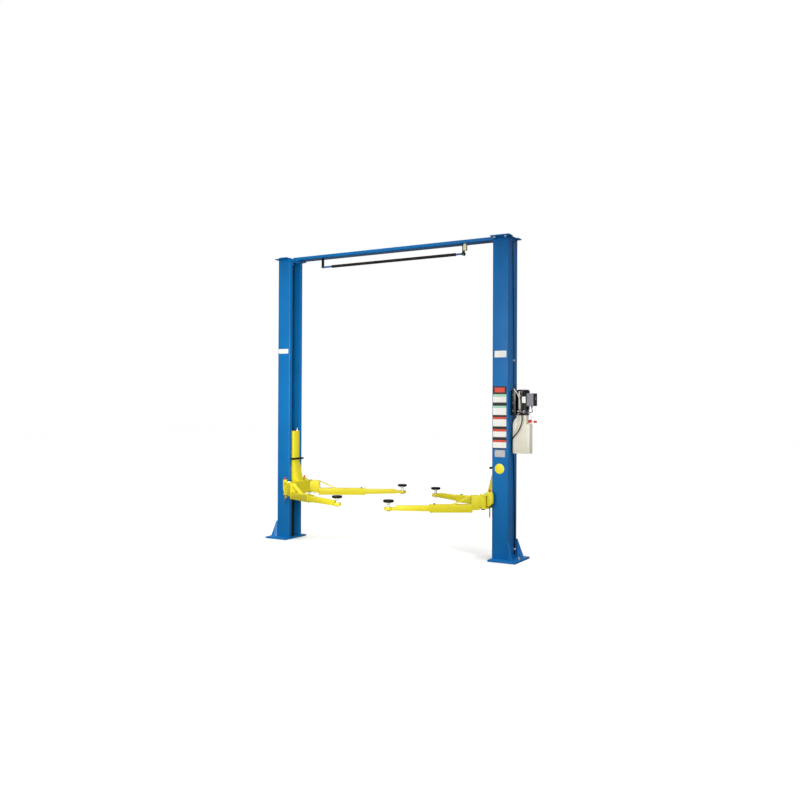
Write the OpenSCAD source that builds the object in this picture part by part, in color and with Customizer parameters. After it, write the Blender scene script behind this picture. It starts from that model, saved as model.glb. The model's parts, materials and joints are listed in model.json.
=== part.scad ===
// Two post car lift with clear floor: two channel columns joined by a top beam, a sliding
// carriage in each column, and two swing arms with a screw pad on each carriage.
// X runs along the beam, with the power unit on the +X column. The front is -Y, Z is up,
// and the origin lies on the floor midway between the columns.

/* [Columns] */
// Clear width between the inner faces of the two columns
clear_width = 2856; // [2400:1:3200]
// Top of the column above the floor
column_top = 3640; // [3300:1:4200]
// Depth of the column along the beam
column_depth = 192; // [170:1:230]
// Width of the column across the beam
column_width = 272; // [250:1:320]
// Thickness of the bent column plate
column_wall = 6; // [4:0.5:8]
// Width of each lip beside the slot
column_lip = 56; // [40:1:60]
// Outer bend radius of the column plate
column_bend = 12; // [10:1:18]

/* [Base plates] */
// Thickness of the base plate
base_t = 20; // [12:1:30]
// Reach of the base plate past the outer face of the column
base_out = 124; // [110:1:180]
// Reach of the base plate past the inner face of the column
base_in = 14; // [5:1:40]
// Reach of the base plate to the front and to the back of the column
base_side = 84; // [70:1:94]
// Radius of an anchor hole
anchor_r = 9.5; // [7:0.5:12]
// Distance between the two anchor holes of one side strip
anchor_pitch = 110; // [80:1:130]
// Distance of the single outer anchor from the outer face of the column
anchor_out = 80; // [60:1:95]
// Radius of the outer anchor bolt
bolt_r = 9; // [6:0.5:9]
// Height of a corner gusset above the base plate
gusset_h = 207; // [120:1:300]
// Thickness of a corner gusset
gusset_t = 10; // [6:1:16]
// Length of a corner gusset along the floor
gusset_run = 80; // [60:1:92]
// Angle between a corner gusset and the beam
gusset_angle = 29; // [20:1:45]

/* [Top] */
// Thickness of the top plate
cap_t = 12; // [8:1:16]
// Reach of the top plate past the outer face of the column
cap_out = 36; // [20:1:80]
// Reach of the top plate to the front and to the back of the column
cap_side = 81; // [40:1:120]
// Length of the cut at one outer corner of the top plate
cap_cut_l = 66; // [20:1:90]
// Width of the cut at one outer corner of the top plate
cap_cut_w = 52; // [20:1:70]
// Depth of the cable relief in the outer edge of the top plate
cap_relief = 22; // [5:1:30]
// Width of the cable relief in the outer edge of the top plate
cap_relief_w = 160; // [60:1:200]
// Distance of the middle of the cable relief from the middle of the top plate
cap_relief_y = 20; // [0:1:40]
// Height of the top beam
beam_h = 36; // [30:1:60]
// Width of the top beam
beam_w = 160; // [80:1:180]
// Wall of the top beam
beam_wall = 4; // [2.5:0.5:5]
// Drop of the underside of the beam below the top of the columns
beam_drop = 14; // [4:1:20]
// Thickness of the beam brackets
bracket_t = 8; // [6:1:12]
// Length of the beam bracket under the beam
bracket_reach = 75; // [50:1:120]
// Height of the beam bracket on the column lips
bracket_h = 64; // [50:1:120]
// Width of the beam bracket
bracket_w = 200; // [180:1:240]
// Height of the bracket's band above the slot, and of its middle rib
bracket_band = 24; // [15:1:40]

/* [Overhead shutoff bar] */
// Distance of the pivot of the shutoff bar from the middle of the beam
bar_pivot_x = 1005; // [800:1:1150]
// Distance of the free end of the shutoff bar from the middle of the beam
bar_end_x = 1012; // [800:1:1150]
// Drop of the shutoff bar below the beam
bar_drop = 110; // [90:1:200]
// Radius of the shutoff bar
bar_r = 11; // [6:0.5:12]
// Start of the bar's padding, measured from the pivot
bar_pad_start = 142; // [80:1:300]
// End of the bar's padding, measured from the free end
bar_pad_end = 110; // [60:1:300]
// Radius of the bar's padding
bar_pad_r = 18; // [14:0.5:25]
// Width of the straps that carry the bar
strap_w = 22; // [14:1:40]
// Thickness of the straps that carry the bar
strap_t = 3; // [2:0.5:8]
// Radius of the cheeks that guide the bar's free end
guide_r = 21; // [18:1:30]
// Length of the limit switch box
switch_l = 36; // [25:1:60]
// Height of the limit switch box
switch_h = 66; // [50:1:90]
// Height of the foot between the limit switch box and the beam
switch_foot = 14; // [6:1:30]
// Depth of the limit switch box
switch_w = 40; // [25:1:50]
// Distance of the limit switch box in front of the bar's axis
switch_front = 8; // [4:1:20]

/* [Carriages] */
// Top of the carriage above the floor at rest
carriage_top = 1402; // [1300:1:1600]
// Underside of the carriage above the floor at rest
carriage_bottom = 600; // [560:1:700]
// Width of the carriage tower inside the column
carriage_w = 150; // [120:1:152]
// Width of the carriage nose that stands out of the slot
nose_w = 114; // [100:1:150]
// Depth of the nose behind the column's inner face
nose_depth = 14; // [10:1:30]
// Reach of the carriage nose past the column's inner face
nose_reach = 20.5; // [15:0.5:60]
// Wall of the carriage tower
tower_wall = 8; // [6:1:12]
// Height of the wedge brace's upper end above the floor
wedge_top = 994; // [900:1:1100]
// Reach of the wedge brace's foot past the nose
wedge_reach = 66; // [40:1:80]
// Length of a slide block
slide_block_h = 110; // [60:1:160]
// Height of the middle of the bumper strip
bumper_z = 1040; // [1010:1:1200]
// Height of the bumper strip
bumper_h = 24; // [15:1:40]
// Length of the bumper strip across the carriage
bumper_l = 270; // [160:1:320]
// Thickness of the bumper strip
bumper_t = 12; // [8:1:30]

/* [Arm carriers] */
// Distance of the arm pivots from the column's inner face
pivot_reach = 63; // [55:1:90]
// Distance between the two arm pivots of one carriage
pivot_pitch = 452; // [420:1:520]
// Underside of the arm carrier above the floor at rest
carrier_z = 590; // [560:1:640]
// Height of the arm carrier
carrier_h = 160; // [120:1:200]
// Thickness of the two carrier plates
carrier_t = 15; // [10:1:20]
// Radius of the carrier plates around an arm pivot
carrier_r = 40; // [34:1:42]
// Radius of an arm pivot pin
pivot_r = 16; // [12:0.5:20]
// Height of the arm lock housing's top above the carrier
ear_rise = 28; // [20:1:60]
// Height of the arm lock housing beside the right front and left rear arm
wide_ear_h = 158; // [90:1:180]
// Length of that housing along the beam
wide_ear_l = 65; // [46:1:80]
// Height of the slanted cuts on that housing
wide_ear_cut = 33; // [20:1:60]
// Height of the arm lock housing beside the left front and right rear arm
long_ear_h = 237; // [90:1:250]
// Length of that housing along the beam
long_ear_l = 45; // [40:1:60]
// Height of the slanted foot of that housing
long_ear_cut = 114; // [20:1:140]
// Width of the arm lock housings across the beam
ear_w = 32; // [28:1:60]
// Distance of an arm lock rod from the arm pivot, towards the column
lock_back = 71; // [55:1:90]
// Distance of an arm lock rod from the arm pivot, towards the middle
lock_side = 18; // [0:1:30]
// Radius of an arm lock rod
lock_r = 6; // [4:0.5:8]
// Lower end of the arm lock rods above the floor at rest
lock_foot = 490; // [485:1:560]
// Radius of the ball on a lock rod
ball_r = 13; // [10:0.5:18]

/* [Arms] */
// Length of the rear arms from the pivot to the end of the outer tube
rear_tube_end = 742; // [600:1:900]
// Length of the front arms from the pivot to the end of the outer tube
front_tube_end = 600; // [480:1:760]
// Distance from pivot to pad of the left rear arm as extended here
left_rear_reach = 1236; // [1100:1:1300]
// Distance from pivot to pad of the left front arm as extended here
left_front_reach = 1231; // [1040:1:1260]
// Distance from pivot to pad of the right front arm as extended here
right_front_reach = 1063; // [1000:1:1260]
// Distance from pivot to pad of the right rear arm as extended here
right_rear_reach = 1211; // [1100:1:1300]
// Angle of the left rear arm to the beam
left_rear_angle = 30.4; // [10:0.1:90]
// Angle of the left front arm to the beam
left_front_angle = 25.4; // [10:0.1:90]
// Angle of the right front arm to the beam
right_front_angle = 32.9; // [10:0.1:90]
// Angle of the right rear arm to the beam
right_rear_angle = 24.7; // [10:0.1:90]
// Radius of the arm eye on its pivot
eye_r = 37; // [32:0.5:37]
// Start of the raised root box, measured from the pivot
root_start = 48; // [46:1:60]
// End of the raised root box, measured from the pivot
root_end = 138; // [110:1:160]
// Width of the raised root box
root_w = 84; // [60:1:88]
// Underside of the root box above the floor at rest
root_z = 578; // [560:1:600]
// Height of the root box
root_h = 162; // [150:1:190]
// Width of the outer arm tube
tube_w = 92; // [80:1:110]
// Height of the outer arm tube
tube_h = 87; // [80:1:110]
// Wall of the outer arm tube
tube_wall = 6; // [4:0.5:8]
// Underside of the outer arm tube above the floor at rest
tube_z = 551; // [530:1:570]
// Width of the inner arm tube
inner_w = 70; // [55:1:72]
// Height of the inner arm tube
inner_h = 63; // [55:1:70]
// Rise of the underside of the inner arm tube towards its tip
inner_taper = 9; // [0:1:20]
// Length of the tapered tip of the inner arm tube
taper_l = 370; // [100:1:400]
// Thickness of the wear strip under the inner arm tube
wear_t = 6; // [3:0.5:8]
// Overlap of the tubes in the rear arm that reaches farther
rear_overlap = 152; // [100:1:300]
// Overlap of the tubes in the front arm that reaches farther
front_overlap = 95; // [80:1:300]
// Distance from the end of the inner tube to the pad's screw
yoke_reach = 86; // [70:1:120]
// Radius of the yoke's ring around the screw
yoke_r = 48; // [36:1:55]
// Thickness of the yoke
yoke_t = 34; // [20:1:40]
// Thickness of the brace strip over the arm root
brace_t = 8; // [6:1:12]
// Width of the brace strip over the arm root
brace_w = 50; // [30:1:60]
// End of the brace strip on the outer tube, measured from the pivot
brace_end = 352; // [260:1:400]

/* [Pads] */
// Radius of a lifting pad
pad_r = 60; // [45:1:70]
// Thickness of a lifting pad
pad_t = 28; // [18:1:40]
// Height of a lifting pad's top above the floor at rest
pad_top = 690; // [680:1:740]
// Radius of a pad screw
screw_r = 15; // [12:0.5:18]
// Thickness of the flange under a pad
flange_t = 6; // [4:1:10]
// Radius of the flange under a pad
flange_r = 34; // [24:1:45]
// Thickness of the stop nut under the yoke
stop_t = 12; // [8:1:16]
// Radius over the corners of the stop nut
stop_r = 24; // [18:1:30]

/* [Hydraulics] */
// Radius of a lift cylinder
cylinder_r = 38; // [30:1:45]
// Length of a lift cylinder
cylinder_l = 1160; // [900:1:1300]
// Radius of the cylinder's rod
rod_r = 20; // [14:1:26]
// Length of the rod above the cylinder
rod_l = 110; // [60:1:130]
// Radius of the pump motor
motor_r = 75; // [60:1:90]
// Height of the pump motor
motor_h = 225; // [180:1:280]
// Underside of the pump motor above the floor
motor_z = 1700; // [1600:1:1800]
// Distance of the motor's axis from the column
motor_out = 125; // [120:1:160]
// Height of the pump block under the motor
pump_h = 63; // [50:1:90]
// Length of the pump block along the beam
pump_l = 110; // [80:1:130]
// Width of the pump block across the beam
pump_w = 96; // [70:1:110]
// Height of the oil tank without its neck
tank_h = 330; // [250:1:400]
// Height of the oil tank's neck
neck_h = 97; // [60:1:120]
// Height of the bend in the oil tank's sloping shoulder
shoulder_h = 50; // [20:1:80]
// Distance of that bend from the inner end of the oil tank
shoulder_in = 24; // [10:1:50]
// Length of the oil tank along the beam
tank_l = 202; // [160:1:204]
// Width of the oil tank across the beam
tank_w = 120; // [100:1:160]
// Radius of the oil tank's upright edges
tank_edge = 22; // [10:1:30]
// Radius of the filler cap
filler_r = 19; // [14:1:24]
// Height of the filler cap
filler_h = 34; // [20:1:50]
// Height of the filler neck under the cap
filler_neck = 14; // [8:1:30]
// Distance of the filler cap from the outer end of the tank
filler_in = 20; // [20:1:40]
// Distance of the filler cap behind the middle of the tank
filler_back = 20; // [0:1:30]
// Length of the control box along the beam
control_l = 105; // [95:1:140]
// Width of the control box across the beam
control_w = 94; // [70:1:110]
// Height of the control box
control_h = 142; // [100:1:180]
// Depth of the motor's seat in the control box
control_seat = 31; // [15:1:40]
// Height of the control box above the motor's underside
control_rise = 41; // [20:1:80]
// Reach of the release lever past the pump block
lever_out = 116; // [90:1:130]
// Drop of the release lever's knob
lever_drop = 101; // [60:1:110]
// Length of the release lever's knob
knob_l = 36; // [20:1:50]
// Radius of the release lever's knob
knob_r = 13; // [8:1:18]
// Radius of the pressure hose
hose_r = 7; // [5:0.5:8]
// Radius of the switch cable
cable_r = 4; // [3:0.5:6]

/* [Hidden] */

BLUE = [0.10, 0.38, 0.68];
YELLOW = [0.90, 0.82, 0.16];
BLACK = [0.06, 0.06, 0.07];
STEEL = [0.74, 0.75, 0.77];
RED = [0.85, 0.12, 0.10];
CREAM = [0.90, 0.88, 0.78];
GREY = [0.55, 0.57, 0.58];
BRASS = [0.72, 0.58, 0.30];

$fn = 48;

// Clearances
slide_gap = 0.3;
run_gap = 5;
pin_gap = 0.3;

// Column
inner_x = clear_width / 2;
outer_x = inner_x + column_depth;
half_w = column_width / 2;
slot_half = half_w - column_lip;
lip_back_x = inner_x + column_wall;
web_in_x = outer_x - column_wall;
side_in = half_w - column_wall;

// Base plate and anchors
base_half = half_w + base_side;
anchor_y = half_w + base_side / 2;
anchor_x0 = inner_x + column_depth / 2 - anchor_pitch / 2;
anchor_x = outer_x + anchor_out;
gusset_toe = 14;

// Top
beam_z = column_top - beam_drop;
beam_end_x = inner_x - bracket_t;

// Shutoff bar
bar_z = beam_z - bar_drop;
bar_eye_r = bar_r + 1;
bar_pin_r = 5;
hanger_half = bar_r + 1 + strap_t;
guide_x = bar_end_x - 12;

// Carriage
nose_x = inner_x - nose_reach;
tower_half = carriage_w / 2;
nose_half = nose_w / 2;
nose_back = inner_x + nose_depth;
tower_back_x = web_in_x - 2 * run_gap - 6;
pivot_x = inner_x - pivot_reach;
pivot_y = pivot_pitch / 2;
carrier_top = carrier_z + carrier_h;
carrier_x0 = pivot_x - carrier_r;
carrier_x1 = inner_x - 2 * run_gap;
ear_x0 = pivot_x + eye_r + run_gap + 3;
ear_top = carrier_top + ear_rise;
lock_x = pivot_x + lock_back;
lock_y = pivot_y - lock_side;
ear_y1 = lock_y + ear_w / 2 + 1;

// Arm
eye_z = carrier_z + carrier_t + slide_gap;
eye_h = carrier_h - 2 * carrier_t - 2 * slide_gap;
inner_z = tube_z + tube_wall + wear_t + slide_gap;
yoke_z = inner_z + inner_h / 2 - yoke_t / 2 - 4;
inner_wall = 6;
rear_inner_l = max(left_rear_reach, right_rear_reach) - yoke_reach - rear_tube_end + rear_overlap;
front_inner_l = max(left_front_reach, right_front_reach) - yoke_reach - front_tube_end + front_overlap;

// Power unit
motor_x = outer_x + motor_out;
pump_z = motor_z - pump_h;
tank_z = pump_z - neck_h - tank_h;
tank_x = motor_x - 4;
tank_x0 = tank_x - tank_l / 2;
neck_x1 = motor_x + pump_l / 2;
filler_x = tank_x + tank_l / 2 - filler_in;
motor_plate_t = 8;
hose_x = outer_x + hose_r + slide_gap;
cable_x = outer_x + cable_r + slide_gap;
hose_port_z = 62;
hose_port_y = 59;
cable_port_z = column_top - 40;
cable_port_y = -20;
hose_clip_z = 121;
cable_clip_z = 2258;
cable_clip_y = 30;

// Route of the pressure hose, from the pump block over the tank and down the column
HOSE_ROUTE = [
    [motor_x + 7, -pump_w / 2 - 1, pump_z + 35], [motor_x + 7, -64, pump_z + 31], [motor_x + 15, -78, pump_z + 11],
    [motor_x + 23, -84, pump_z - 37], [motor_x + 15, -85, tank_z + 330], [motor_x - 17, -84, tank_z + 260],
    [motor_x - 60, -81, tank_z + 205], [motor_x - 100, -72, tank_z + 162], [outer_x + 10, -46, tank_z + 120],
    [hose_x, -22, tank_z + 76], [hose_x, -4, tank_z + 26], [hose_x, 10, tank_z - 40],
    [hose_x, 22, tank_z - 120], [hose_x, 38, 820], [hose_x, 50, 540],
    [hose_x, 57, 300], [hose_x, hose_port_y, hose_clip_z], [outer_x + 10, hose_port_y, hose_port_z + 24],
    [outer_x + 7, hose_port_y, hose_port_z + 4], [outer_x - 2, hose_port_y, hose_port_z]
];

// Route of the switch cable, from the top of the column down to the motor bracket
CABLE_ROUTE = [
    [outer_x - 2, cable_port_y, cable_port_z], [outer_x + 6, cable_port_y, cable_port_z - 6],
    [outer_x + 7, -19, cable_port_z - 24], [cable_x, -17, cable_port_z - 60], [cable_x, -6, 3200],
    [cable_x, 8, 2800], [cable_x, 21, 2500], [cable_x, cable_clip_y, cable_clip_z], [cable_x, 26, 2120],
    [outer_x + 8, 14, motor_z + 310], [outer_x + 14, 8, motor_z + 255], [outer_x + 20, 6, motor_z + 226]
];

// Route of the release lever, from the pump block down to its knob
lever_x = motor_x + pump_l / 2;
lever_z = pump_z + pump_h / 2;
lever_y = -20;
lever_r = 5;
LEVER_ROUTE = [
    [lever_x + pin_gap, lever_y, lever_z], [lever_x + 6, lever_y, lever_z], [lever_x + 12, lever_y, lever_z],
    [lever_x + 0.3 * lever_out, lever_y, lever_z - 0.2 * lever_drop],
    [lever_x + lever_out - knob_l - 18, lever_y, lever_z - 0.8 * lever_drop],
    [lever_x + lever_out - knob_l - 4, lever_y, lever_z - lever_drop + 2],
    [lever_x + lever_out - knob_l + 8, lever_y, lever_z - lever_drop]
];

// Shapes used by several sub-parts

module block(x0, x1, y0, y1, z0, z1) {
    translate([x0, y0, z0]) cube([x1 - x0, y1 - y0, z1 - z0]);
}

module rounded_area(x0, x1, y0, y1, r) {
    translate([x0 + r, y0]) square([x1 - x0 - 2 * r, y1 - y0]);
    translate([x0, y0 + r]) square([x1 - x0, y1 - y0 - 2 * r]);
    for (x = [x0 + r, x1 - r], y = [y0 + r, y1 - r])
        translate([x, y]) circle(r);
}

module upright(x, y, z, r, h) {
    translate([x, y, z]) cylinder(r = r, h = h);
}

// What is drawn for the right column is turned half round for the left one
module on_left() {
    rotate([0, 0, 180]) children();
}

module mirrored_y() {
    children();
    mirror([0, 1, 0]) children();
}

// Tube swept along a route with a smooth curve through its points

function point_at(p, i) = p[max(0, min(len(p) - 1, i))];

function curve_at(p, i, t) =
    let (a = point_at(p, i - 1), b = point_at(p, i), c = point_at(p, i + 1), d = point_at(p, i + 2))
    0.5 * (2 * b + (c - a) * t + (2 * a - 5 * b + 4 * c - d) * t * t + (3 * b - a - 3 * c + d) * t * t * t);

function smooth_route(p, steps) = concat(
    [for (i = [0 : len(p) - 2], k = [0 : steps - 1]) curve_at(p, i, k / steps)],
    [p[len(p) - 1]]
);

function unit(v) = v / norm(v);

module swept_tube(route, r, sides, steps) {
    path = smooth_route(route, steps);
    n = len(path);
    guide = [0.6, -0.5, 0.62];
    rings = [
        for (i = [0 : n - 1])
            let (
                t = unit(path[min(n - 1, i + 1)] - path[max(0, i - 1)]),
                u = unit(cross(t, guide)),
                v = cross(t, u)
            )
            for (k = [0 : sides - 1])
                path[i] + r * (cos(360 * k / sides) * u + sin(360 * k / sides) * v)
    ];
    faces = concat(
        [[for (k = [0 : sides - 1]) k]],
        [for (i = [0 : n - 2], k = [0 : sides - 1])
            [i * sides + k, (i + 1) * sides + k, (i + 1) * sides + (k + 1) % sides, i * sides + (k + 1) % sides]],
        [[for (k = [sides - 1 : -1 : 0]) (n - 1) * sides + k]]
    );
    polyhedron(points = rings, faces = faces);
}

// Columns

module column(ports) {
    difference() {
        translate([0, 0, base_t]) linear_extrude(column_top - base_t) difference() {
            rounded_area(inner_x, outer_x, -half_w, half_w, column_bend);
            rounded_area(lip_back_x, web_in_x, -side_in, side_in, column_bend - column_wall);
            translate([inner_x - 1, -slot_half]) square([column_wall + 2, 2 * slot_half]);
        }
        if (ports) {
            port(hose_port_y, hose_port_z, hose_r + 2);
            port(cable_port_y, cable_port_z, cable_r + 2);
        }
    }
}

module port(y, z, r) {
    translate([web_in_x - 1, y, z]) rotate([0, 90, 0]) cylinder(r = r, h = column_wall + 2);
}

module left_column() {
    color(BLUE) on_left() column(false);
}

module right_column() {
    color(BLUE) column(true);
}

module gusset() {
    corner = column_bend + slide_gap;
    translate([outer_x - column_bend, half_w - column_bend, base_t]) rotate([0, 0, gusset_angle])
        translate([corner, gusset_t / 2, 0]) rotate([90, 0, 0]) linear_extrude(gusset_t)
            polygon([[0, -1], [gusset_run, -1], [gusset_run, gusset_toe], [gusset_toe, gusset_h], [0, gusset_h]]);
}

module base_side_holes() {
    for (y = [-anchor_y, anchor_y], x = [anchor_x0, anchor_x0 + anchor_pitch])
        upright(x, y, -1, anchor_r, base_t + 2);
}

module base() {
    difference() {
        union() {
            block(inner_x - base_in, outer_x + base_out, -base_half, base_half, 0, base_t);
            mirrored_y() gusset();
        }
        base_side_holes();
        upright(anchor_x, 0, -1, bolt_r + 0.5, base_t + 2);
    }
}

module left_base() {
    color(BLUE) on_left() base();
}

module right_base() {
    color(BLUE) base();
}

module anchor_bolt() {
    upright(anchor_x, 0, 2, bolt_r, base_t + 24);
    upright(anchor_x, 0, base_t, 2 * bolt_r, 3);
    translate([anchor_x, 0, base_t + 3]) cylinder(r = 1.6 * bolt_r, h = 13, $fn = 6);
}

module anchor_bolts() {
    color(BRASS) {
        anchor_bolt();
        on_left() anchor_bolt();
    }
}

// Top of the frame

module cap() {
    x1 = outer_x + cap_out;
    y1 = half_w + cap_side;
    relief_x = x1 - cap_relief;
    relief_y0 = -cap_relief_y - cap_relief_w / 2;
    relief_y1 = relief_y0 + cap_relief_w;
    translate([0, 0, column_top]) linear_extrude(cap_t) polygon([
        [inner_x, -y1], [x1, -y1], [x1, relief_y0], [relief_x, relief_y0 + 6],
        [relief_x, relief_y1 - 6], [x1, relief_y1], [x1, y1 - cap_cut_w],
        [x1 - cap_cut_l, y1 - cap_cut_w], [x1 - cap_cut_l - 0.85 * cap_cut_w, y1], [inner_x, y1]
    ]);
}

module top_plates() {
    color(BLUE) {
        cap();
        on_left() cap();
    }
}

module overhead_beam() {
    color(BLUE) difference() {
        block(-beam_end_x, beam_end_x, -beam_w / 2, beam_w / 2, beam_z, beam_z + beam_h);
        block(-beam_end_x - 1, beam_end_x + 1, beam_wall - beam_w / 2, beam_w / 2 - beam_wall,
              beam_z + beam_wall, beam_z + beam_h - beam_wall);
    }
}

module beam_bracket() {
    difference() {
        block(beam_end_x, inner_x, -bracket_w / 2, bracket_w / 2, beam_z - bracket_h, column_top + 4);
        block(beam_end_x - 1, inner_x + 1, 8 - slot_half, slot_half - 8,
              beam_z - bracket_h - 1, beam_z - bracket_band);
    }
    block(inner_x - bracket_reach, beam_end_x, -beam_w / 2, beam_w / 2, beam_z - bracket_t, beam_z);
    translate([beam_end_x, bracket_t / 2, beam_z - bracket_t]) rotate([90, 0, 0]) linear_extrude(bracket_t)
        polygon([[0, 0], [bracket_t + 5 - bracket_reach, 0], [0, bracket_t - bracket_band]]);
}

module beam_brackets() {
    color(BLUE) {
        beam_bracket();
        on_left() beam_bracket();
    }
}

// Shutoff bar under the beam, pivoted at its left end and guided at its right end

module bar_hanger() {
    for (side = [-1, 1])
        translate([-bar_pivot_x, side * (hanger_half - strap_t / 2), 0]) {
            block(-strap_w / 2, strap_w / 2, -strap_t / 2, strap_t / 2, bar_z, beam_z);
            translate([0, strap_t / 2, bar_z]) rotate([90, 0, 0]) cylinder(r = strap_w / 2, h = strap_t);
        }
    translate([-bar_pivot_x, 0, 0])
        block(-strap_w / 2, strap_w / 2, -hanger_half, hanger_half, beam_z - strap_t, beam_z);
    translate([-bar_pivot_x, hanger_half + 3, bar_z]) rotate([90, 0, 0])
        cylinder(r = bar_pin_r, h = 2 * hanger_half + 6);
}

module bar_guide() {
    rest_z = bar_z - bar_r - bar_pin_r - slide_gap;
    for (side = [-1, 1])
        translate([guide_x, side * (hanger_half - strap_t / 2), 0]) {
            block(-strap_w / 2, strap_w / 2, -strap_t / 2, strap_t / 2, bar_z, beam_z);
            translate([0, strap_t / 2, bar_z]) rotate([90, 0, 0]) cylinder(r = guide_r, h = strap_t);
        }
    translate([guide_x, 0, 0])
        block(-strap_w / 2, strap_w / 2, -hanger_half, hanger_half, beam_z - strap_t, beam_z);
    translate([guide_x, hanger_half + 3, rest_z]) rotate([90, 0, 0])
        cylinder(r = bar_pin_r, h = 2 * hanger_half + 6);
}

module bar_straps() {
    color(BLACK) {
        bar_hanger();
        bar_guide();
    }
}

module limit_switch() {
    x0 = bar_end_x + run_gap;
    z1 = beam_z - switch_foot;
    color(CREAM) {
        block(x0, x0 + switch_l, -switch_front - switch_w, -switch_front, z1 - switch_h, z1);
        block(x0 + 4, x0 + switch_l - 4, 4 - switch_front - switch_w, -switch_front - 4, z1, beam_z);
    }
}

module shutoff_rod() {
    color(BLUE) difference() {
        union() {
            translate([-bar_pivot_x, 0, bar_z]) rotate([0, 90, 0])
                cylinder(r = bar_r, h = bar_pivot_x + bar_end_x - 1);
            translate([-bar_pivot_x, bar_r, bar_z]) rotate([90, 0, 0]) cylinder(r = bar_eye_r, h = 2 * bar_r);
        }
        translate([-bar_pivot_x, 2 * bar_r, bar_z]) rotate([90, 0, 0])
            cylinder(r = bar_pin_r + pin_gap, h = 4 * bar_r);
    }
}

module shutoff_padding() {
    color(BLACK) translate([-bar_pivot_x + bar_pad_start, 0, bar_z]) rotate([0, 90, 0]) difference() {
        cylinder(r = bar_pad_r, h = bar_pivot_x + bar_end_x - bar_pad_start - bar_pad_end);
        translate([0, 0, -1]) cylinder(r = bar_r, h = bar_pivot_x + bar_end_x);
    }
}

// Lift cylinders inside the columns

module lift_cylinder() {
    x = (nose_x + tower_back_x) / 2;
    upright(x, 0, base_t, cylinder_r, cylinder_l);
    upright(x, 0, base_t + cylinder_l, cylinder_r - 5, 22);
    upright(x, 0, base_t + cylinder_l, rod_r, rod_l);
}

module lift_cylinders() {
    color(GREY) {
        lift_cylinder();
        on_left() lift_cylinder();
    }
}

// Power unit on the outside of the right column

module motor_bracket() {
    x1 = motor_x - motor_r + 12;
    color(BLACK) difference() {
        union() {
            block(outer_x, outer_x + motor_plate_t, -60, 60, pump_z, motor_z + motor_h - 12);
            for (side = [-1, 1])
                block(outer_x, x1, min(side * 60, side * 52), max(side * 60, side * 52),
                      pump_z, motor_z + motor_h - 12);
            block(outer_x, x1, -60, 60, motor_z + motor_h - 20, motor_z + motor_h - 12);
            block(outer_x, motor_x - pump_l / 2, -pump_w / 2, pump_w / 2, pump_z, pump_z + 12);
        }
        upright(motor_x, 0, motor_z, motor_r, motor_h);
    }
}

module pump_motor() {
    color(BLACK) {
        upright(motor_x, 0, motor_z, motor_r, motor_h - 28);
        upright(motor_x, 0, motor_z + motor_h - 28, motor_r - 5, 28);
    }
}

module control_box() {
    x0 = motor_x + motor_r - control_seat;
    z0 = motor_z + control_rise;
    color(GREY) difference() {
        block(x0, x0 + control_l, -control_w / 2, control_w / 2, z0, z0 + control_h);
        upright(motor_x, 0, motor_z, motor_r, motor_h);
    }
}

module pump_block() {
    color(STEEL) block(motor_x - pump_l / 2, motor_x + pump_l / 2, -pump_w / 2, pump_w / 2, pump_z, motor_z);
}

module oil_tank() {
    color(CREAM) {
        translate([0, 0, tank_z]) linear_extrude(tank_h)
            rounded_area(tank_x - tank_l / 2, tank_x + tank_l / 2, -tank_w / 2, tank_w / 2, tank_edge);
        translate([0, 0, tank_z + tank_h]) linear_extrude(neck_h)
            rounded_area(motor_x - pump_l / 2, neck_x1, -pump_w / 2, pump_w / 2, tank_edge);
        translate([0, pump_w / 2, tank_z + tank_h]) rotate([90, 0, 0]) linear_extrude(pump_w)
            polygon([
                [tank_x0 + 4, -1], [tank_x0 + shoulder_in, shoulder_h], [motor_x - pump_l / 2 + 10, neck_h - 15],
                [motor_x, neck_h - 2], [neck_x1 - tank_edge, neck_h - 2], [neck_x1 - tank_edge, -1]
            ]);
        upright(filler_x, filler_back, tank_z + tank_h - 1, filler_r - 4, filler_neck + 1);
    }
}

module filler_cap() {
    color(RED) upright(filler_x, filler_back, tank_z + tank_h + filler_neck, filler_r, filler_h);
}

module release_lever() {
    color(RED) {
        swept_tube(LEVER_ROUTE, lever_r, 10, 4);
        translate([lever_x + lever_out - knob_l, lever_y, lever_z - lever_drop]) rotate([0, 90, 0])
            cylinder(r = knob_r, h = knob_l);
    }
}

module pressure_hose() {
    color(BLACK) swept_tube(HOSE_ROUTE, hose_r, 8, 3);
}

module switch_cable() {
    color(BLACK) swept_tube(CABLE_ROUTE, cable_r, 8, 4);
}

module clip(y, z, line_x, r) {
    difference() {
        union() {
            block(outer_x, line_x, y - r - 3, y + r + 3, z - 8, z + 8);
            upright(line_x, y, z - 8, r + 3, 16);
        }
        upright(line_x, y, z - 9, r + slide_gap, 18);
        block(outer_x - 1, line_x, y - r - slide_gap, y + r + slide_gap, z - 9, z + 9);
        block(outer_x - 4 * r, outer_x, y - 2 * r - 3, y + 2 * r + 3, z - 9, z + 9);
    }
}

module cable_clips() {
    color(CREAM) {
        clip(hose_port_y, hose_clip_z, hose_x, hose_r);
        clip(cable_clip_y, cable_clip_z, cable_x, cable_r);
    }
}

// Carriages

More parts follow.
